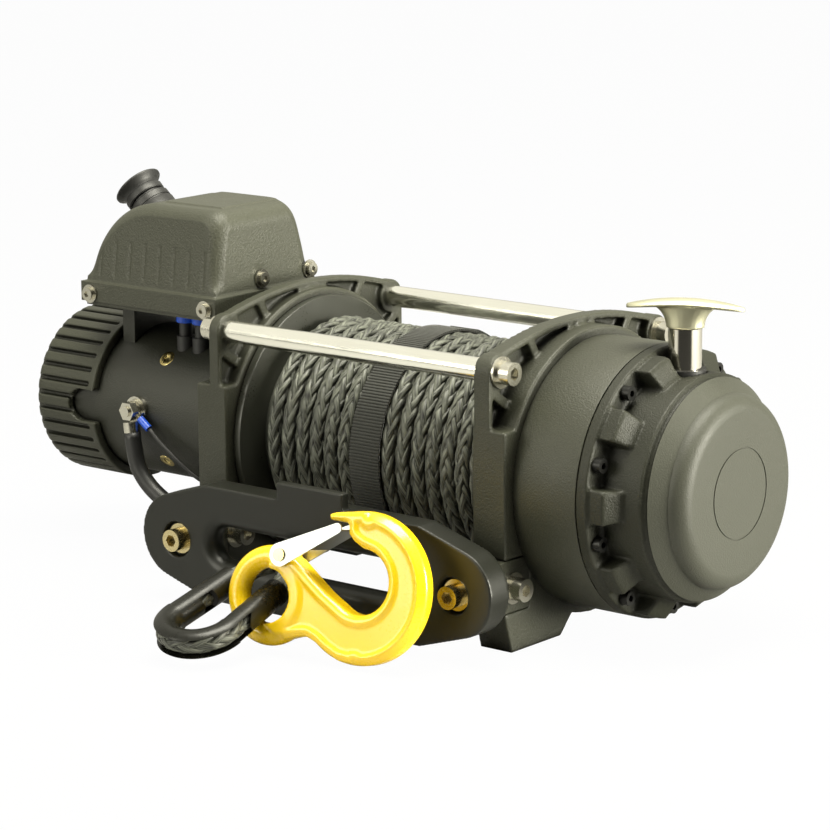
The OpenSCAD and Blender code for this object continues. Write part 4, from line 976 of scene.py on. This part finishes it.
@dataclass
class Cables:
    """Battery cable with its coil, and the thin earth wire."""

    diameter: float = 12.6
    wire_diameter: float = 3.2
    coil_centre: tuple[float, float] = (-150.0, 205.0)
    coil_radius: float = 62.0
    coil_turns: int = 2
    coil_gap: float = 0.8
    cable_route: tuple = (
        (-242.8, -67.3, 98.1), (-241.1, -67.3, 85.8), (-237.4, -67, 71.6), (-228, -66, 59),
        (-214, -64, 48.6),
        (-200.5, -59.5, 39.8), (-188.5, -52, 31.6), (-180.5, -40.5, 24), (-176.6, -26, 17.2),
        (-175.4, -9, 11.8), (-176, 9, 8.4), (-178, 29, 6.8), (-181.5, 51, 6.4), (-187, 75, 6.3),
        (-193.5, 99, 6.3), (-200, 122, 6.3), (-206, 144, 6.3), (-210.4, 163, 6.3), (-212, 179.8, 6.3),
        (-212, 192.4, 6.3))
    wire_route: tuple = (
        (-228.4, -64, 102), (-226, -64, 100.2), (-220, -63.4, 94.4), (-212, -62, 87.4),
        (-204, -60, 80.4), (-196, -57, 73.2), (-188, -53.5, 67), (-181, -48, 61.4), (-176, -39, 56),
        (-173, -27, 51), (-172, -13, 47.6), (-172, 2, 46.8), (-172, 17, 49), (-172, 31, 54.4),
        (-172, 43, 62.6), (-172, 53, 74), (-172, 60, 87), (-172, 63.5, 101.6), (-172, 64, 117),
        (-172, 61, 132.6), (-172, 55.4, 147.6), (-172, 48.4, 161.6), (-172, 41.6, 174), (-172, 38.6, 183),
        (-172, 38, 190))

    def coil_point(self, turn: float) -> tuple[float, float, float]:
        """Centre of the coil after a number of turns: in along the floor, up a layer and out again."""
        pitch = self.diameter + self.coil_gap
        inward = min(turn, 2 * self.coil_turns - turn)
        radius = self.coil_radius - pitch * inward
        climb = min(max((turn - self.coil_turns + 0.25) / 0.5, 0), 1)
        angle = math.pi + 2 * math.pi * turn
        return (self.coil_centre[0] + radius * math.cos(angle),
                self.coil_centre[1] - radius * math.sin(angle), self.diameter / 2 + pitch * climb)

    def coil_points(self) -> list[tuple[float, float, float]]:
        """Points of the coil, 24 a turn, ended by one straight diameter."""
        steps = 24 * 2 * self.coil_turns
        points = [self.coil_point(i / 24) for i in range(steps + 1)]
        last = points[-1]
        return points + [(last[0], last[1] + self.diameter, last[2])]

    def build(self, jacket: Material, blue: Material, zinc: Material) -> None:
        """Makes both cords and dresses what is on them.

        Args:
            jacket: Cable jacket.
            blue: Crimp sleeve.
            zinc: Lugs.
        """
        route = np.array(list(self.cable_route) + self.coil_points()) * MM
        path = smooth_path(route, 4.5 * MM)
        heavy = dress(cable_mesh("battery_cable_run", path, self.diameter * MM / 2, 16), jacket)
        settle(heavy, "base", "cable_black", "battery_cable", "cable_coil")
        wire_path = smooth_path(np.array(self.wire_route) * MM, 2.5 * MM)
        wire = dress(cable_mesh("earth_wire_run", wire_path, self.wire_diameter * MM / 2, 10), jacket)
        settle(wire, "base", "cable_black", "earth_wire")
        for node, skin in (("cable_lugs", zinc), ("earth_crimp", blue)):
            dress_node(node, skin)


# Rope


@dataclass
class Braid:
    """Twelve strand braid: six strands each way, two over and two under."""

    radius: float = 6.2 * MM
    pitch: float = 80 * MM
    each_way: int = 6
    wave: float = 0.72 * MM
    strand_wide: float = 2.5 * MM
    strand_thick: float = 1.42 * MM
    sides: int = 6
    uneven: float = 0.06
    sway_length: float = 47 * MM

    def strands(self, path: np.ndarray, start: Sequence[float],
                widen: float = 1.0) -> tuple[np.ndarray, list, np.ndarray]:
        """Lays all strands round a path.

        Args:
            path: Centre line of the rope.
            start: Direction of the first normal.
            widen: Stretch of the rope across the first normal.

        Returns:
            Vertices, faces and the pattern's coordinates in metres.
        """
        _, normals, sideways = carried_frames(path, start)
        along = np.concatenate([[0], np.cumsum(np.linalg.norm(np.diff(path, axis=0), axis=1))])
        middle = self.radius - self.strand_thick - self.wave
        crossings = 2 * self.each_way * along / self.pitch
        verts, faces, uvs = [], [], []
        turn = 2 * np.pi * np.arange(self.sides) / self.sides
        for way in Way:
            for k in range(self.each_way):
                sway = self.uneven * np.sin(2 * np.pi * along / self.sway_length + 2.1 * k + way.value)
                angle = way.value * 2 * np.pi * along / self.pitch + 2 * np.pi * k / self.each_way + sway
                full = 1 + 2 * self.uneven * np.sin(2 * np.pi * along / (0.61 * self.sway_length) + 1.3 * k)
                phase = 2 * k + way.value * crossings
                lift = middle + way.value * self.wave * np.cos(np.pi / 2 * (phase - 0.5))
                out = np.cos(angle)[:, None] * normals + widen * np.sin(angle)[:, None] * sideways
                centre = path + lift[:, None] * out
                tangent = unit(np.gradient(centre, axis=0))
                radial = unit(out - tangent * np.sum(out * tangent, axis=1, keepdims=True))
                across = np.cross(tangent, radial)
                ring = (self.strand_thick * np.cos(turn)[None, :, None] * radial[:, None]
                        + self.strand_wide * np.sin(turn)[None, :, None] * across[:, None])
                ring = ring * full[:, None, None]
                offset = len(verts) * len(path) * self.sides
                verts.append((centre[:, None] + ring).reshape(-1, 3))
                faces += tube_faces(len(path), self.sides, offset)
                across_uv = np.abs(turn / np.pi - 1) * 4 * MM + k * 0.013 + 0.1 * way.value
                grid = np.broadcast_arrays(along[:, None], across_uv[None])
                uvs.append(np.stack(grid, axis=2).reshape(-1, 2))
        return np.vstack(verts), faces, np.vstack(uvs)

    def piece(self, name: str, path: np.ndarray, start: Sequence[float], material: Material,
              widen: float = 1.0) -> Thing:
        """Makes one braided piece."""
        verts, faces, uv = self.strands(path, start, widen)
        return dress(make_object(name, verts, faces, uv), material)


@dataclass
class RopeWork:
    """Rope on the drum, its run through the fairlead, the eye and the strap."""

    braid: Braid = field(default_factory=Braid)
    winding_radius: float = 75.8
    first_x: float = 99.8
    turns: int = 15
    ring_step: float = 4.3
    squash: float = 1.07
    run_step: float = 2.2
    eye_braid: Braid = field(default_factory=lambda: Braid(radius=7.0 * MM, strand_wide=2.9 * MM))
    strap_half: float = 13.25
    strap_radius: float = 82.3
    strap_thick: float = 1.6
    route: tuple = (
        (-99.8, -12.4, 35), (-99.8, -24.8, 35), (-98.4, -36, 35.8), (-94.5, -48, 37.6),
        (-88, -60, 40.4), (-79.5, -72, 43.8), (-69.5, -83, 47.4), (-58.5, -93, 50.6), (-47, -102, 52.8),
        (-36, -110.5, 54), (-27, -118.6, 54.4), (-21.4, -128.6, 53.3), (-21, -140.4, 49.9))

    def winding_path(self, first: float, last: float) -> np.ndarray:
        """Centre of the outer layer between two numbers of turns."""
        steps = int((last - first) * 2 * math.pi * self.winding_radius / self.ring_step)
        turn = np.linspace(first, last, steps + 1)
        angle = 2 * np.pi * (turn - self.turns)
        x = self.first_x * (1 - 2 * turn / self.turns)
        y = -self.winding_radius * np.sin(angle)
        z = AXIS_Z / MM - self.winding_radius * np.cos(angle)
        return np.stack([x, y, z], axis=1) * MM

    def winding(self, fibre: Material) -> None:
        """Winds the outer layer in two pieces, so that each stays light."""
        half = self.turns / 2
        for name, first, last in (("winding_right", 0.0, half), ("winding_left", half, float(self.turns))):
            path = self.winding_path(first, last)
            angle = 2 * math.pi * (first - self.turns)
            upright = (0, -math.sin(angle), -math.cos(angle))
            piece = self.braid.piece(name, path, upright, fibre, self.squash)
            settle(piece, "drum_body", "rope_grey", "rope_winding")
        dress_node("rope_core", fibre)

    def thimble_matrix(self) -> Matrix:
        """Place of the thimble's own flat frame."""
        turn = (Matrix.Rotation(math.radians(1.5), 4, "Z") @ Matrix.Rotation(math.radians(16), 4, "X")
                @ Matrix.Rotation(math.radians(3), 4, "Y"))
        return Matrix.Translation(Vector((-18.6, -233.7, 23.1)) * MM) @ turn

    def eye_points(self) -> list[Vector]:
        """Route of the eye: down the near leg, round the crown and up the far leg."""
        crown, lean = 24.5, math.radians(4)
        points = [(6.4, 92), (9.5, 84), (16, 70)]
        for at in (56, 40, 20):
            points.append((crown * math.cos(lean) - at * math.sin(lean),
                           crown * math.sin(lean) + at * math.cos(lean)))
        for i in range(13):
            a = lean - (math.pi + 2 * lean) * i / 12
            points.append((crown * math.cos(a), crown * math.sin(a)))
        mirrored = [(-x, y) for x, y in points[:6]]
        return [self.thimble_matrix() @ (Vector((x, y, 0)) * MM) for x, y in points + mirrored[::-1]]

    def runs(self, fibre: Material) -> None:
        """Makes the run through the fairlead and the eye in the thimble."""
        splice = self.thimble_matrix() @ Vector((0, 97 * MM, 0))
        route = [Vector(p) * MM for p in self.route]
        inside = self.thimble_matrix() @ Vector((0, 84 * MM, 0))
        path = smooth_path([*route[:-1], splice, inside], self.run_step * MM)
        run = self.braid.piece("rope_to_eye", path, (0, 0, 1), fibre)
        settle(run, "base", "rope_grey", "rope_run")
        eye_path = smooth_path(self.eye_points(), self.run_step * MM)
        upright = tuple(self.thimble_matrix().col[2][:3])
        eye = self.eye_braid.piece("rope_in_thimble", eye_path, upright, fibre)
        settle(eye, "base", "rope_grey", "rope_eye")

    def strap(self, thread: Material) -> None:
        """Ties the winding with a ribbed webbing strap."""
        half, low = self.strap_half * MM, self.strap_radius * MM
        high = low + 0.75 * self.strap_thick * MM
        rim, fold = 0.2 * MM, 0.5 * MM
        profile = [(-half, low), (-half, high - rim), (-half + fold, high), (half - fold, high),
                   (half, high - rim), (half, low), (-half, low)]
        verts, faces = revolve(profile, 160)
        band = dress(facing_out(make_object("strap_band", verts, faces)), thread)
        settle(band, "drum_body", "webbing", "rope_strap")
        outer = high + 0.15 * MM
        rib_size = (2 * half + 0.6 * MM, 1.75 * MM, 1.1 * MM)
        rib = rounded_bar("strap_ribs", rib_size, (0, 0, outer), 0.45 * MM)
        count = int(2 * math.pi * outer / (2.3 * MM))
        ribs = TurnedRepeat(count, 360 / count).run(rib, thread)
        settle(ribs, "drum_body", "webbing")
        tail = rounded_bar("strap_tail", (2 * half, 2.0 * MM, 1.3 * MM), (0, 0, outer + 1.3 * MM), 0.5 * MM)
        tails = TurnedRepeat(16, 1.5, first=-44.0).run(tail, thread)
        settle(tails, "drum_body", "webbing")

    def build(self, fibre: Material, thread: Material) -> None:
        """Makes all rope pieces."""
        self.winding(fibre)
        self.runs(fibre)
        self.strap(thread)


# Castings, motor and gearbox


@dataclass
class Castings:
    """Side castings, tie rods and the blocks that carry the fairlead."""

    voxel: float = 1.15 * MM
    ring_radius: float = 101.0
    outer_x: float = 141.0

    def build(self, skins: Skins) -> None:
        """Rounds the castings and dresses the rods."""
        for node, name in (("left_frame", "left_casting"), ("right_frame", "right_casting")):
            thing = dress(cast_copy(node, name, self.voxel, smooth=3, keep=0.5), skins["cast"])
            true_rounds(thing, [(self.ring_radius, -self.outer_x, self.outer_x)], 0.25 * MM)
            settle(thing, "base", "cast_black", node)
        blocks = cast_copy("adapter_blocks", "fairlead_blocks", 1.0 * MM, smooth=1, keep=0.5)
        settle(dress(blocks, skins["cast"]), "base", "cast_black", "adapter_blocks")
        for node, skin in (("tie_rods", "drawn"), ("tie_rod_screws", "zinc"), ("foot_nuts", "zinc"),
                           ("adapter_screws", "zinc"), ("fairlead_bolts", "passivated")):
            dress_node(node, skins[skin])


@dataclass
class Motor:
    """Motor tube, ribbed end cap, terminal and screws."""

    lead_x: tuple[float, float] = (-222.0, -206.0)
    lead_y: float = -28.0
    sleeve: tuple[float, float, float] = (7.2, 179.0, 192.6)

    def sleeves(self, vinyl: Material) -> None:
        """Puts a short blue sleeve over the top of each lead's boot."""
        radius, low, high = (v * MM for v in self.sleeve)
        for name, x in zip(("lead_sleeve_left", "lead_sleeve_right"), self.lead_x):
            rim = 0.6 * MM
            profile = [(0, low), (radius - rim, low), (radius, low + rim), (radius, high), (0, high)]
            piece = turned(name, profile, Matrix.Translation((x * MM, self.lead_y * MM, 0)), 40)
            settle(dress(piece, vinyl), "base", "blue_boot")

    def build(self, skins: Skins) -> None:
        """Rounds the ribbed cap and dresses the rest."""
        tube = dress(soft_copy("motor_tube", "rolled_motor_tube"), skins["tube"])
        settle(tube, "base", "motor_black", "motor_tube")
        self.sleeves(skins["vinyl"])
        cap = dress(cast_copy("motor_end_cap", "ribbed_cap", 0.95 * MM, smooth=1, keep=0.5), skins["cast"])
        settle(cap, "base", "cast_black", "motor_end_cap")
        heads = dress(soft_copy("motor_screws", "pole_screw_heads", bevel=1.3 * MM), skins["brass"])
        settle(heads, "base", "brass", "motor_screws")
        for node, skin in (("terminal_stud", "zinc"), ("motor_leads", "rubber"),
                           ("armature", "gear"), ("box_bracket", "tube")):
            dress_node(node, skins[skin])


@dataclass
class Gearbox:
    """Housing, lobed cover, end cap and clutch."""

    rounds: tuple = ((79.0, 203.0, 235.0), (95.0, 193.5, 202.5), (93.0, 203.0, 215.0))
    clutch_x: float = 215.3
    barrel_top: float = 220.0
    handle_top: float = 240.0
    handle_half: float = 41.0
    handle_width: float = 20.0
    handle_droop: float = 5.0
    handle_edge: float = 5.6
    neck: tuple[float, float] = (13.2, 10.2)
    neck_flare: float = 15.0
    neck_rise: float = 15.5
    handle_angle: float = 23.7

    def handle(self) -> Thing:
        """Lofts the T handle: a drooping blade with pointed ends on a flared neck.

        Returns:
            The handle as one closed form.
        """
        sides, stations = 28, 61
        turn = 2 * np.pi * np.arange(sides) / sides
        rings = []
        for s in np.linspace(-0.995, 0.995, stations):
            wide = self.handle_width / 2 * (1 - abs(s) ** 2.6) ** 0.55
            thick = self.handle_edge * (1 - 0.45 * s * s) / 2
            middle = self.handle_top - self.handle_droop * s * s - thick
            across, up = np.sin(turn), np.cos(turn)
            rings.append(np.stack([np.full(sides, s * self.handle_half),
                                   wide * np.sign(across) * np.abs(across) ** 0.9,
                                   middle + thick * up - 0.8 * across ** 2], axis=1))
        blade = make_object("t_handle", np.vstack(rings) * MM, tube_faces(stations, sides))
        rings = []
        for t in np.linspace(0, 1, 24):
            flare = self.neck_flare * (1 - math.sqrt(1 - t * t))
            rings.append(np.stack([(self.neck[0] + flare) * np.cos(turn),
                                   self.neck[1] * (1 - 0.12 * t) * np.sin(turn),
                                   np.full(sides, self.barrel_top + 0.2 + self.neck_rise * t)], axis=1))
        neck = make_object("neck", np.vstack(rings) * MM, tube_faces(len(rings), sides))
        form = bmesh.new()
        for part in (blade, neck):
            form.from_mesh(part.data)
        bmesh.ops.recalc_face_normals(form, faces=form.faces)
        form.to_mesh(blade.data)
        form.free()
        bpy.data.objects.remove(neck)
        grid = blade.modifiers.new("grid", "REMESH")
        grid.mode = "VOXEL"
        grid.voxel_size = 0.6 * MM
        soft = blade.modifiers.new("soft", "SMOOTH")
        soft.iterations = 5
        smoothed(baked(blade))
        blade.data.transform(Matrix.Translation((self.clutch_x * MM, 0, 0))
                             @ Matrix.Rotation(math.radians(self.handle_angle), 4, "Z"))
        return blade

    def build(self, skins: Skins) -> None:
        """Rounds the housing and cover and dresses the rest."""
        housing = dress(soft_copy("ring_gear_housing", "gear_housing", bevel=0.8 * MM), skins["cast"])
        settle(housing, "base", "cast_black", "ring_gear_housing")
        rough = cast_copy("gear_cover", "lobed_cover", 1.1 * MM, smooth=18, keep=0.5)
        cover = true_rounds(rough, self.rounds, 0.5 * MM)
        # The cover's darker coat is painted shade
        settle(dress(cover, skins["cover"]), "base", "cast_black", "gear_cover")
        # The cap's paler coat is painted light
        cap = dress(soft_copy("gear_end_cap", "round_cap"), skins["cap"])
        settle(cap, "base", "cap_black", "gear_end_cap")
        flanges = dress(soft_copy("drum", "rope_drum", bevel=0.6 * MM), skins["enamel"])
        settle(flanges, "drum_body", "drum_black", "drum")
        settle(dress(self.handle(), skins["satin"]), "clutch_handle_body", "satin_metal", "clutch_handle")
        for node, skin in (("cover_bolts", "oxide"), ("clutch_collar", "rubber"), ("clutch_pin", "chrome"),
                           ("ring_gear", "gear"), ("output_carrier", "gear"), ("first_carrier", "gear"),
                           ("drum_bushes", "bronze"),
                           *((f"planet_{n}", "gear") for n in ("1a", "1b", "1c", "2a", "2b", "2c"))):
            dress_node(node, skins[skin])


@dataclass
class ControlBox:
    """Control box with its cover, screws and socket."""

    dome_centre: tuple[float, float, float] = (-231.0, 4.0, 208.0)
    dome_radius: float = 62.0
    socket_tilt: float = 47.0
    socket_profile: tuple = (
        (0, -4.5), (19.2, -4.5), (19.2, -0.5), (18.6, 0.6), (17.3, 1.2), (17.0, 2.0), (16.9, 8.6),
        (16.4, 9.2),
        (15.9, 9.3), (15.9, 10.4), (16.5, 10.6), (16.4, 15.2), (15.6, 16.0), (13.6, 16.2), (13.6, 18.1),
        (11.0, 18.1), (10.6, 17.7), (10.6, 9.0), (0, 9.0))
    cap_profile: tuple = (
        (0, 18.4), (14.9, 18.4), (15.6, 19.1), (15.7, 23.2), (15.1, 24.1), (14.6, 25.0), (14.9, 26.4),
        (16.3, 28.3), (18.4, 30.0), (19.4, 30.9), (19.5, 31.8), (18.9, 32.3), (17.6, 32.1), (10.0, 31.2),
        (0, 31.0))

    def build(self, skins: Skins) -> None:
        """Dresses the box."""
        cover = round_big_edges(cast_copy("box_cover", "moulded_cover", 1.0 * MM, smooth=2), 212 * MM, 200)
        dress(cover, skins["moulded"])
        settle(cover, "base", "box_plastic", "box_cover")
        for node, skin in (("box_base", "moulded"), ("box_screws", "zinc"), ("contactor", "rubber"),
                           ("socket_screw", "zinc")):
            dress_node(node, skins[skin])
        place = (Matrix.Translation(Vector(self.dome_centre) * MM)
                 @ Matrix.Rotation(math.radians(-self.socket_tilt), 4, "Y")
                 @ Matrix.Translation((0, 0, self.dome_radius * MM)))
        for node, name, body, profile in (
                ("remote_socket", "socket_body", "base", self.socket_profile),
                ("socket_cap", "socket_bell_cap", "cap_body", self.cap_profile)):
            piece = turned(name, [(r * MM, z * MM) for r, z in profile], place)
            settle(dress(piece, skins["rubber"]), body, "black_rubber", node)


@dataclass
class FrontEnd:
    """Fairlead, thimble, hook and latch."""

    hook_at: tuple[float, float, float] = (5.6, -188.4, 38.4)
    hook_axes: tuple = ((0.992546, 0.121869, 0.0), (-0.025338, 0.206362, 0.978148),
                        (0.119206, -0.970857, 0.207912))
    hook_half: float = 9.0
    edge_radius: float = 4.6
    rim: float = 5.8
    rim_slope: float = 2.4
    web_depth: float = 1.5
    ring_reach: float = 31.0

    def forge(self, thing: Thing) -> Thing:
        """Rounds the hook's edges and sinks its flat sides between raised rims, as a forging die does.

        Args:
            thing: Even copy of the hook.

        Returns:
            The same object.
        """
        axes = np.array(self.hook_axes)
        origin = np.array(self.hook_at) * MM
        places = (vertex_array(thing) - origin) @ axes.T / MM
        normals = vertex_array(thing, "normal") @ axes.T
        wall = np.nonzero(np.abs(normals[:, 2]) < 0.4)[0]
        tree = KDTree(len(wall))
        for i in wall:
            tree.insert((places[i, 0], places[i, 1], 0), int(i))
        tree.balance()
        reach = self.edge_radius
        away = np.zeros(len(places))
        out = unit(normals[:, :2])
        for i, p in enumerate(places):
            near, _, distance = tree.find((p[0], p[1], 0))
            away[i] = distance
            if distance > 0.3 and abs(normals[i, 2]) > 0.4:
                out[i] = (near[0] - p[0], near[1] - p[1])
        out = unit(out)
        free = smoothstep(self.ring_reach - 5, self.ring_reach, np.linalg.norm(places[:, :2], axis=1))
        a = np.clip(reach - away, 0, reach)
        b = np.clip(np.abs(places[:, 2]) - (self.hook_half - reach), 0, reach)
        size = np.hypot(a, b)
        scale = np.where(size > reach, reach / np.maximum(size, 1e-9), 1.0)
        side = np.sign(places[:, 2])
        moved = places.copy()
        moved[:, :2] -= out * (a * (1 - scale) * free)[:, None]
        moved[:, 2] -= side * b * (1 - scale) * free
        inside = smoothstep(self.rim, self.rim + self.rim_slope, away)
        sunk = self.web_depth * inside * free * (np.abs(normals[:, 2]) > 0.7)
        moved[:, 2] -= side * sunk
        moved = blurred(moved, edge_array(thing), 2)
        write_vertices(thing, moved * MM @ axes + origin)
        return thing

    def build(self, skins: Skins) -> None:
        """Rounds the fairlead and the hook and dresses the rest."""
        lead = cast_copy("fairlead", "hawse_fairlead", 1.15 * MM, smooth=2, keep=0.5)
        settle(dress(lead, skins["anodised"]), "base", "fairlead_black", "fairlead")
        hook = dress(self.forge(cast_copy("hook", "forged_hook", 0.9 * MM, smooth=2)), skins["yellow"])
        thimble = dress(soft_copy("thimble", "dipped_thimble"), skins["gloss"])
        settle(thimble, "base", "gloss_black", "thimble")
        settle(hook, "hook_body", "yellow_paint", "hook")
        for node, skin in (("latch", "sheet_zinc"), ("latch_pin", "brass"),
                           ("latch_spring", "zinc")):
            dress_node(node, skins[skin])


def main() -> None:
    """Builds the studio and every sub-assembly."""
    logging.basicConfig(level=logging.INFO, format="%(message)s")
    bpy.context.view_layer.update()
    finishes = {
        "cast": CAST, "cover": SHADED_COVER_COAT, "tube": TUBE, "cap": LIT_CAP_COAT, "moulded": MOULDED, "anodised": ANODISED,
        "enamel": ENAMEL, "drawn": DRAWN, "zinc": ZINC, "passivated": PASSIVATED, "brass": BRASS,
        "chrome": CHROME, "satin": SATIN, "yellow": YELLOW, "sheet_zinc": SHEET_ZINC, "gloss": GLOSS,
        "jacket": JACKET, "rubber": RUBBER, "vinyl": VINYL, "oxide": OXIDE, "gear": GEAR_STEEL,
        "bronze": BRONZE, "webbing": WEBBING, "fibre": FIBRE}
    skins = {name: finish.material() for name, finish in finishes.items()}
    Studio().build()
    Cables().build(skins["jacket"], skins["vinyl"], skins["zinc"])
    RopeWork().build(skins["fibre"], skins["webbing"])
    for part in (Castings(), Motor(), Gearbox(), ControlBox(), FrontEnd()):
        part.build(skins)


if __name__ == "__main__":
    main()
